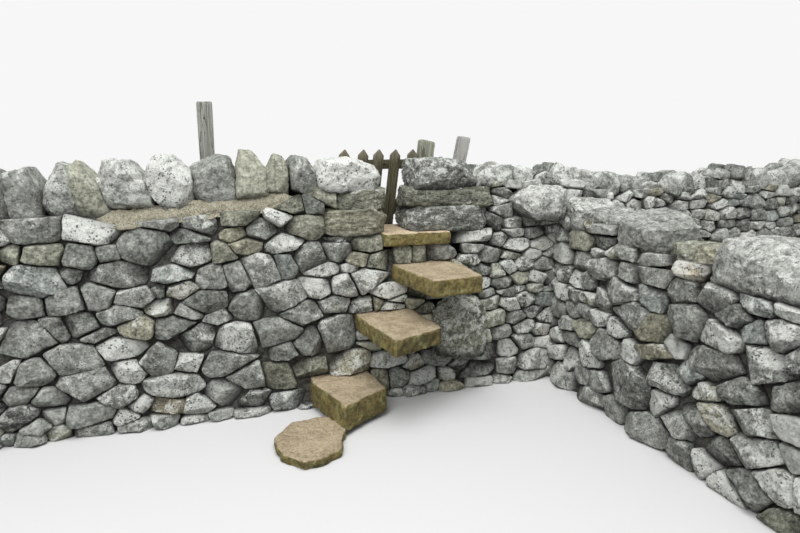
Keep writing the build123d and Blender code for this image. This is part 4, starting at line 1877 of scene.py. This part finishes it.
@dataclass
class Walls:
    """The main wall in four lengths and the cross wall, all of fitted rubble."""

    bank: SoilBank
    left_end: float = -2.4
    right_end: float = 3.5
    cross_middle: float = 1.3
    cross_length: float = 2.6
    gap_half: float = 0.095
    gap_splay: float = 0.08
    left_low_top: float = 1.13
    main_top: float = 1.29
    flat_start: float = -0.395
    far_top: float = 1.215
    cross_tops: Point3 = (1.06, 0.96, 0.88)
    cross_drops: Point2 = (0.76, 1.47)
    cross_bite: float = 0.03
    cross_cover: float = 0.02
    cap_inset: float = 0.065
    pinned: float = 0.042
    small_area: float = 0.0112
    packing_drop: float = 0.05
    seen: Masonry = Masonry()
    unseen: Masonry = Masonry(wide=(0.08, 0.24), high=(0.06, 0.125), chips=2)
    right: Masonry = Masonry(
        wide=(0.075, 0.19), high=(0.055, 0.12), crispness=(80.0, 260.0), face_tilt=0.26, chips=5,
        slope=(0.3, 1.1), bite=(0.05, 0.24), lumps=0.07, grit=0.005, tone=(0.58, 0.19),
        lichen=(0.46, 0.26), turn=8.0, joint=(-0.001, 0.007),
        tint_shares=(0.82, 0.06, 0.08, 0.03, 0.01))
    far: Masonry = Masonry(
        wide=(0.08, 0.19), high=(0.055, 0.11), crispness=(70.0, 200.0), tone=(0.48, 0.19),
        lichen=(0.38, 0.26), chips=3, turn=7.0, lumps=0.06, grit=0.005, face_tilt=0.24)
    through: tuple[str, ...] = (
        "step_1", "step_2", "step_3", "threshold_slab", "left_jamb_lower", "left_jamb_upper",
        "right_jamb_lower", "right_jamb_upper")

    def build(self, finish: Material, hearting: Material) -> None:
        """Lays every face and makes one piece for each construction solid.

        Args:
            finish: material of the stones.
            hearting: material of the packing, dark with painted shade.
        """
        fine, middling = StoneMould(6, 0.5), StoneMould(4, 0.45)
        plain, coarse = StoneMould(3, 0.45), StoneMould(2, 0.4)
        front, back = self.main_faces()
        far_front, far_back = self.far_faces()
        cross_left, cross_right = self.cross_faces()
        left_cap, far_cap, cross_cap = self.caps()
        walls: dict[str, RubbleWall] = {}
        for face, moulds, owner in (
                (front, (fine, middling), self.owner),
                (back, (plain, coarse), lambda x: self.owner(-x)),
                (far_front, (middling, plain), "far_wall"),
                (far_back, (plain, coarse), "far_wall"),
                (cross_left, (fine, middling), "cross_wall"),
                (cross_right, (plain, coarse), "cross_wall"),
                (left_cap, (plain, plain), "left_wall"), (far_cap, (plain, plain), "far_wall"),
                (cross_cap, (plain, plain), "cross_wall")):
            for node, pile in self.laid(face, moulds, owner):
                walls.setdefault(node, RubbleWall(node)).piles.append((pile, face.masonry))
        for wall in walls.values():
            wall.build(finish)
        for block in self.packing():
            block.build(hearting)

    def laid(self, face: WallFace, moulds: tuple[StoneMould, StoneMould],
             owner: str | Callable[[float], str]) -> list[tuple[str, StonePile]]:
        """Fills a face with stones.

        Args:
            face: the face.
            moulds: what its big stones and its small ones are drawn out from.
            owner: its wall, or what gives the wall at a place across the face.

        Returns:
            Piles of stones, each with the wall that it belongs to.
        """
        piles: dict[tuple[str, bool], StonePile] = {}
        for bed, polygon in face.fitted():
            node = owner if isinstance(owner, str) else owner(centre_of(polygon)[0])
            small = area_of(polygon) < self.small_area
            pile = piles.setdefault((node, small), StonePile(moulds[small]))
            face.fill(pile, bed, polygon)
        for (node, small), pile in piles.items():
            LOG.info("%s: %d %s stones", node, len(pile.stones), "small" if small else "big")
        return [(node, pile) for (node, _), pile in piles.items()]

    def owner(self, x: float) -> str:
        """The main wall's length that a place along it belongs to."""
        if x < -self.gap_half:
            return "left_wall"
        return "sill_wall" if x < self.gap_half else "right_wall"

    def main_faces(self) -> tuple[WallFace, WallFace]:
        """The front and the back of the main wall as far as the cross wall."""
        top = self.main_top + self.pinned
        outline = [
            (self.left_end, 0.0), (self.cross_middle, 0.0), (self.cross_middle, top),
            (self.flat_start, top), (self.left_end, self.left_low_top + self.pinned)]
        front = WallFace(
            (0, -HALF_BASE, 0), (0, 1, 0), outline, self.seen, 11, seen=MAIN_STONES,
            rougher=self.right, rougher_from=0.42, warm_at=(-0.1, 0.75), warm_reach=0.75,
            ends=(self.left_end,))
        front.avoid(*self.through, "corner_boulder", "foot_boulder")
        back = WallFace((0, HALF_BASE, 0), (0, -1, 0), mirrored(outline), self.unseen, 12,
                        ends=(-self.left_end,))
        back.avoid(*self.through)
        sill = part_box("threshold_slab")[1][2]
        front.obstacles.append(rectangle(-self.gap_half, sill, self.gap_half + self.gap_splay, SKY))
        for face in (front, back):
            face.keep_clear_above("left_jamb_upper", "right_jamb_upper")
        front.obstacles.append(self.bank.strip())
        top = self.cross_tops[0] - self.cross_cover
        inner = self.cross_middle - half_at(0.0) + self.cross_bite
        beyond = self.cross_middle + 0.1
        front.obstacles.append([
            (inner, -0.1), (beyond, -0.1), (beyond, top), (inner + BATTER * top, top)])
        back.obstacles.append(rectangle(-self.gap_half, sill, self.gap_half, SKY))
        return front, back

    def far_faces(self) -> tuple[WallFace, WallFace]:
        """The front and the back of the wall beyond the cross wall."""
        outline = rectangle(self.cross_middle, 0.0, self.right_end, self.far_top + self.pinned)
        front = WallFace(
            (0, -HALF_BASE, 0), (0, 1, 0), outline, self.far, 13, ends=(self.right_end,))
        top = self.cross_tops[0] - self.cross_cover
        outer = self.cross_middle + half_at(0.0) - self.cross_bite
        beyond = self.cross_middle - 0.1
        front.obstacles.append([
            (beyond, -0.1), (outer, -0.1), (outer - BATTER * top, top), (beyond, top)])
        back = WallFace((0, HALF_BASE, 0), (0, -1, 0), mirrored(outline), self.unseen, 14,
                        ends=(-self.right_end,))
        return front, back

    def cross_faces(self) -> tuple[WallFace, WallFace]:
        """The left and the right side of the cross wall, which drops in two places."""
        tops = [height + self.pinned for height in self.cross_tops]
        length = self.cross_length
        outline = rectangle(half_at(self.cross_tops[0]) - 0.06, 0.0, length, tops[0])
        air = [rectangle(drop, top, length + 0.2, SKY)
               for drop, top in zip(self.cross_drops, tops[1:])]
        left = WallFace(
            (self.cross_middle - HALF_BASE, 0, 0), (1, 0, 0), outline, self.right, 15,
            obstacles=air, seen=CROSS_STONES, ends=(length,))
        right = WallFace(
            (self.cross_middle + HALF_BASE, 0, 0), (-1, 0, 0), mirrored(outline), self.right, 16,
            obstacles=[mirrored(shape) for shape in air], ends=(-length,))
        return left, right

    def caps(self) -> tuple[WallFace, WallFace, WallFace]:
        """The upright ends of the left wall, the far wall and the cross wall."""
        def outline(height: float) -> Polygon:
            """Outline of the stones between the two faces at a wall end."""
            low, high = half_at(0.0) - self.cap_inset, half_at(height) - self.cap_inset
            return [(-low, 0.0), (low, 0.0), (high, height), (-high, height)]

        return (
            WallFace((self.left_end, 0, 0), (1, 0, 0), outline(self.left_low_top), self.unseen, 17,
                     0.0),
            WallFace((self.right_end, 0, 0), (-1, 0, 0), outline(self.far_top), self.unseen, 18,
                     0.0),
            WallFace((self.cross_middle, -self.cross_length, 0), (0, 1, 0),
                     outline(self.cross_tops[2]), self.right, 19, 0.0))

    def packing(self) -> Iterator[Packing]:
        """The blocks between the skins."""
        left, right = self.left_end + PACKING_INSET, self.right_end - PACKING_INSET
        gap, middle = self.gap_half, self.cross_middle
        low, main, far = (
            top - self.packing_drop for top in (self.left_low_top, self.main_top, self.far_top))
        yield Packing("left_hearting", (left, -gap - 0.03), (left, -gap - 0.4), (low, main))
        sill = (-gap - 0.1, gap + 0.1)
        yield Packing("sill_hearting", sill, sill, (0.92, 0.92))
        yield Packing("right_hearting", (gap + 0.03, middle), (gap + 0.55, middle), (main, main))
        yield Packing("far_hearting", (middle, right), (middle, right), (far, far))
        stops = (0.0, *self.cross_drops, self.cross_length - PACKING_INSET)
        for index, (height, *run) in enumerate(zip(self.cross_tops, stops, stops[1:]), 1):
            top = height - self.packing_drop
            yield Packing(f"cross_hearting_{index}", run, run, (top, top), middle)


@dataclass
class CopingRows:
    """The loose stones that finish the wall tops, the jambs, the caps and the boulders."""

    row: LooseShape = LooseShape((90.0, 240.0), 9, (0.05, 0.3), 1.06, 0.09, 0.007, 0.1, jostle=7.0)
    jumbled: LooseShape = LooseShape(
        (160.0, 300.0), 5, (0.06, 0.32), 1.025, 0.045, 0.005, shade_height=0.03, jostle=12.0,
        parts=(3, 5))
    cross: LooseShape = LooseShape(
        (200.0, 320.0), 7, (0.08, 0.34), 1.06, 0.06, 0.009, 0.11, jostle=5.0)
    left_cap: LooseShape = LooseShape((60.0, 70.0), 14, (0.03, 0.16), 1.05, 0.11, 0.008, 0.12)
    right_cap: LooseShape = LooseShape(
        (140.0, 180.0), 7, (0.03, 0.18), 1.08, 0.13, 0.011, 0.13,
        cuts=((-1.0, 0.0, 0.12, 0.86), (-0.5, -0.7, 0.5, 0.86), (0.6, -0.5, 0.7, 0.84),
              (0.1, -0.85, -0.5, 0.84)))
    corner: LooseShape = LooseShape(
        (180.0, 220.0), 5, (0.05, 0.2), 1.2, 0.07, 0.008, 0.11,
        cuts=((-0.75, 0.0, -0.66, 0.78), (0.75, 0.0, -0.66, 0.86), (-0.5, 0.0, 0.86, 0.94),
              (0.6, -0.8, 0.1, 0.9), (-0.45, -0.85, 0.15, 0.92), (0.1, -0.6, 0.8, 0.92)))
    foot: LooseShape = LooseShape(
        (150.0, 180.0), 6, (0.05, 0.24), 1.14, 0.13, 0.017, 0.08,
        cuts=((-0.6, -0.6, 0.5, 0.88), (0.65, -0.7, 0.2, 0.86)))

    def jamb(self, outer: float) -> LooseShape:
        """The shape of a jamb stone whose edges are cut on its outer side."""
        return LooseShape(
            (80.0, 110.0), 18, (0.03, 0.2), 1.1, 0.2, 0.009, 0.13, shade_height=0.012,
            cuts=((outer, -0.3, 1.5, 0.9), (outer, -0.3, -1.3, 0.9), (outer, -0.7, 0.1, 0.93)))

    def build(self, finish: Material) -> None:
        """Makes every row and every big stone rough and dresses them."""
        medium, small, big = StoneMould(11), StoneMould(5), StoneMould(16)
        pale, plain, dull = StoneLook(0.65, 0.48), StoneLook(0.6, 0.35), StoneLook(0.5, 0.3)
        shaded, grimy, bright = StoneLook(0.44, 0.3), StoneLook(0.36, 0.25), StoneLook(0.72, 0.62)
        slate, white = StoneLook(0.56, 0.2), StoneLook(0.63, 0.7)
        slab, boulder = StoneLook(0.58, 0.2), StoneLook(0.64, 0.42)
        sandy, olive = StoneLook(0.72, 0.14, Tint.OLIVE), StoneLook(0.63, 0.12, Tint.OLIVE)
        tawny, mossy = StoneLook(0.46, 0.3, Tint.TAN), StoneLook(0.46, 0.3, Tint.OLIVE)
        for seed, (node, mould, shape, looks) in enumerate((
                ("left_coping", medium, self.row, (
                    dull, plain, dull, plain, sandy, pale, white, slate, sandy, olive, dull)),
                ("right_coping", small, self.jumbled, (
                    bright, pale, grimy, bright, shaded, plain, pale)),
                ("far_coping", small, self.jumbled, (
                    pale, grimy, plain, bright, shaded, pale, dull)),
                ("cross_coping", big, self.cross, (
                    boulder, slab, pale, plain, tawny, plain, pale, mossy, dull, pale)),
                ("left_capstone", big, self.left_cap, (StoneLook(0.78, 0.85),)),
                ("right_capstone", big, self.right_cap, (StoneLook(0.34, 0.44),)),
                ("corner_boulder", big, self.corner, (StoneLook(0.7, 0.5),)),
                ("foot_boulder", big, self.foot, (StoneLook(0.4, 0.5, Tint.OLIVE),))), 21):
            LooseStones(node, mould, seed, shape).build(looks, finish)
        bedded = LimestoneFinish(name="bedded limestone", bedding=2.6, relief=0.022).material()
        for seed, (node, outer, look) in enumerate((
                ("left_jamb_lower", -0.8, StoneLook(0.52, 0.14, Tint.TAN)),
                ("left_jamb_upper", -0.8, StoneLook(0.48, 0.34, Tint.OLIVE)),
                ("right_jamb_lower", 0.8, StoneLook(0.37, 0.4)),
                ("right_jamb_upper", 0.8, StoneLook(0.33, 0.28, Tint.OLIVE))), 31):
            LooseStones(node, big, seed, self.jamb(outer)).build((look,), bedded)


@dataclass
class Steps:
    """The slabs that are walked on."""

    split: float = 0.011
    flagstone_split: float = 0.024

    def build(self) -> None:
        """Makes each slab worn and dresses it."""
        plain = StepFinish().material()
        # The threshold slab's treads are lighter, as painted light against the shade that it lies
        # in
        shaded = StepFinish(name="threshold slab with painted light", tread=(0.34, 0.265, 0.17),
                            tread_pale=(0.80, 0.65, 0.46)).material()
        # Step 2 gets painted shade on its right-facing side
        right_side_shade = StepFinish(name="damp step slab", right_side_shade=0.6).material()
        for seed, (node, finish, swell) in enumerate((
                ("step_1", plain, self.split), ("step_2", right_side_shade, self.split),
                ("step_3", plain, self.split), ("threshold_slab", shaded, self.split),
                ("ground_flagstone", plain, self.flagstone_split)), 40):
            WornSlab(node, seed, swell).build(finish)


@dataclass
class Woodwork:
    """The posts and the gate's timbers."""

    second_lean: float = 11.6
    post_voxel: float = 0.0085
    pale_voxel: float = 0.0045
    rail_voxel: float = 0.0055
    tip_drop: float = 0.01

    def build(self) -> None:
        """Makes each timber weathered and dresses it."""
        grey = TimberFinish("grey post", (0.22, 0.23, 0.175), (0.40, 0.41, 0.32),
                            (0.17, 0.19, 0.11), 0.35, lean=POST_LEAN)
        silver = TimberFinish("grey leaning post", (0.30, 0.29, 0.27), (0.50, 0.49, 0.46),
                              (0.22, 0.22, 0.18), 0.2, lean=self.second_lean)
        drab = TimberFinish("fence post", (0.19, 0.19, 0.165), (0.36, 0.365, 0.325),
                            (0.15, 0.15, 0.11), 0.3)
        rails = TimberFinish("gate rails", (0.048, 0.042, 0.025), (0.15, 0.135, 0.085),
                             (0.10, 0.105, 0.035), 0.45, lean=90.0)
        pales = replace(rails, name="gate pales", lean=POST_LEAN,
                        tip=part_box("pale_3")[1][2] - self.tip_drop)
        for node, finish, lean, raised in (
                ("hinge_post", grey, POST_LEAN, 0.0009),
                ("leaning_post", silver, self.second_lean, 0.0009),
                ("fence_post", drab, 0.0, 0.002)):
            WornTimber(node, "root", "post_wood", self.post_voxel, lean, raised).build(
                finish.material())
        pale = pales.material()
        for index in PALES:
            WornTimber(f"pale_{index}", "gate", "gate_wood", self.pale_voxel, POST_LEAN,
                       seed=50 + index).build(pale)
        rail = rails.material()
        for node in ("top_rail", "bottom_rail"):
            WornTimber(node, "gate", "gate_wood", self.rail_voxel, 90.0).build(rail)


@dataclass
class GateNails:
    """Domed nail heads where the pales cross the rails."""

    crossings: tuple[tuple[str, float], ...] = (("top_rail", 0.014), ("bottom_rail", 0.026))
    radius: float = 0.0042

    def build(self, finish: Material) -> None:
        """Makes one nail head, copies it to every crossing and dresses them."""
        deselect_all()
        bpy.ops.mesh.primitive_uv_sphere_add(segments=10, ring_count=6, radius=self.radius)
        head = bpy.context.active_object
        shape = coordinates(head.data) * np.array([1.0, 0.5, 1.0])
        triangles = triangles_of(head.data)
        discard(head)
        places = list(self.places())
        nails = new_object(
            "gate_nails", np.vstack([shape + np.array(place) for place in places]),
            np.vstack([triangles + index * len(shape) for index in range(len(places))]))
        smooth_shade(nails, 60)
        settle(nails, finish, "gate")

    def places(self) -> Iterator[Point3]:
        """Where the nails are: two at each crossing, one above the other."""
        for index in PALES:
            low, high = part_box(f"pale_{index}")
            for rail, aside in self.crossings:
                rail_low, rail_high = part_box(rail)
                height = (rail_low[2] + rail_high[2]) / 2
                half = (high[2] - low[2]) / 2
                drift = math.tan(math.radians(POST_LEAN)) * (height - (low[2] + half))
                middle = (low[0] + high[0]) / 2 + drift
                for side in (-aside, aside):
                    yield middle + side * 0.9, low[1] + 0.0005, height + side * 0.8


@dataclass
class Ironwork:
    """The gate's nails, and its straps and hooks, which keep their construction shapes."""

    nodes: tuple[str, ...] = ("upper_strap", "lower_strap", "upper_hook", "lower_hook")

    def build(self) -> None:
        """Dresses the ironwork in rust."""
        rust = RustFinish().material()
        GateNails().build(rust)
        for node in self.nodes:
            dress(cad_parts[node], rust)


@dataclass
class Studio:
    """The pale floor, the soft light and the camera."""

    eye: Eye = Eye()
    floor_reach: float = 60.0
    floor_middle: Point3 = (0.5, -0.8, 0.0)
    fade: Point2 = (3.0, 6.5)
    pale: Colour = (0.66, 0.66, 0.655)
    bounce: Colour = (0.25, 0.25, 0.24)
    backdrop: Colour = (0.93, 0.93, 0.93)
    sky: Colour = (0.95, 0.98, 1.0)
    sky_strength: float = 0.5
    lamps: tuple[tuple[str, Point3, Point3, float, float], ...] = (
        ("key", (-4.5, -6.0, 6.5), (0.3, 0.0, 0.7), 4.0, 320.0),
        ("top", (-0.4, -2.4, 7.5), (0.4, -0.5, 0.8), 5.0, 430.0))

    def build(self) -> None:
        """Sets the whole studio up."""
        self.place_camera()
        self.lay_floor()
        self.light()
        deselect_all()
        LOG.info("studio: camera, floor, sky and %d lamps", len(self.lamps))

    def place_camera(self) -> None:
        """A camera where the photograph was taken."""
        deselect_all()
        bpy.ops.object.camera_add(location=self.eye.place, rotation=(
            math.radians(90.0 - self.eye.pitch), 0.0, math.radians(-self.eye.turn)))
        camera = bpy.context.active_object
        camera.data.lens = self.eye.lens
        camera.data.sensor_width = self.eye.film
        camera.data.clip_end = 200.0
        bpy.context.scene.camera = camera

    def lay_floor(self) -> None:
        """A pale floor that fades into the background far away."""
        deselect_all()
        bpy.ops.mesh.primitive_circle_add(
            vertices=96, radius=self.floor_reach, fill_type="NGON")
        floor = bpy.context.active_object
        floor.name = "floor"
        material = bpy.data.materials.new("pale floor")
        graph = emptied(material)
        plain = graph.add("ShaderNodeBsdfDiffuse")
        path = graph.add("ShaderNodeLightPath")
        graph.feed(plain.inputs["Color"], graph.mix(
            path.outputs["Is Camera Ray"], self.bounce, self.pale))
        glow = graph.add("ShaderNodeEmission")
        glow.inputs["Color"].default_value = (*self.backdrop, 1.0)
        away = graph.add("ShaderNodeVectorMath", operation="DISTANCE")
        graph.feed(away.inputs[0], graph.add("ShaderNodeTexCoord").outputs["Object"])
        away.inputs[1].default_value = self.floor_middle
        graph.show("ShaderNodeOutputMaterial", graph.spread(
            away.outputs["Value"], *self.fade), plain, glow)
        floor.data.materials.append(material)

    def light(self) -> None:
        """Overcast light: a bright sky above and soft lamps from the upper left."""
        scene = bpy.context.scene
        scene.view_settings.view_transform = "Standard"
        scene.world = bpy.data.worlds.new("pale sky")
        graph = emptied(scene.world)
        seen = graph.add("ShaderNodeBackground")
        seen.inputs["Color"].default_value = (*self.backdrop, 1.0)
        sky = graph.add("ShaderNodeBackground")
        sky.inputs["Color"].default_value = (*self.sky, 1.0)
        sky.inputs["Strength"].default_value = self.sky_strength
        path = graph.add("ShaderNodeLightPath")
        graph.show("ShaderNodeOutputWorld", graph.math(
            "MAXIMUM", path.outputs["Is Camera Ray"], path.outputs["Is Glossy Ray"]), sky, seen)
        for name, place, aim, size, power in self.lamps:
            deselect_all()
            bpy.ops.object.light_add(type="AREA", location=place)
            lamp = bpy.context.active_object
            lamp.name = name
            lamp.data.size = size
            lamp.data.energy = power
            direction = Vector(aim) - Vector(place)
            lamp.rotation_euler = direction.to_track_quat("-Z", "Y").to_euler()


def main() -> None:
    """Builds the stile's looks in order."""
    logging.basicConfig(level=logging.INFO, format="%(message)s")
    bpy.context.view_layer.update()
    deselect_all()
    Studio().build()
    limestone = LimestoneFinish().material()
    bank = SoilBank()
    Walls(bank).build(limestone, HeartingFinish().material())
    bank.build(SoilFinish().material())
    CopingRows().build(limestone)
    Steps().build()
    Woodwork().build()
    Ironwork().build()
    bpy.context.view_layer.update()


if __name__ == "__main__":
    main()
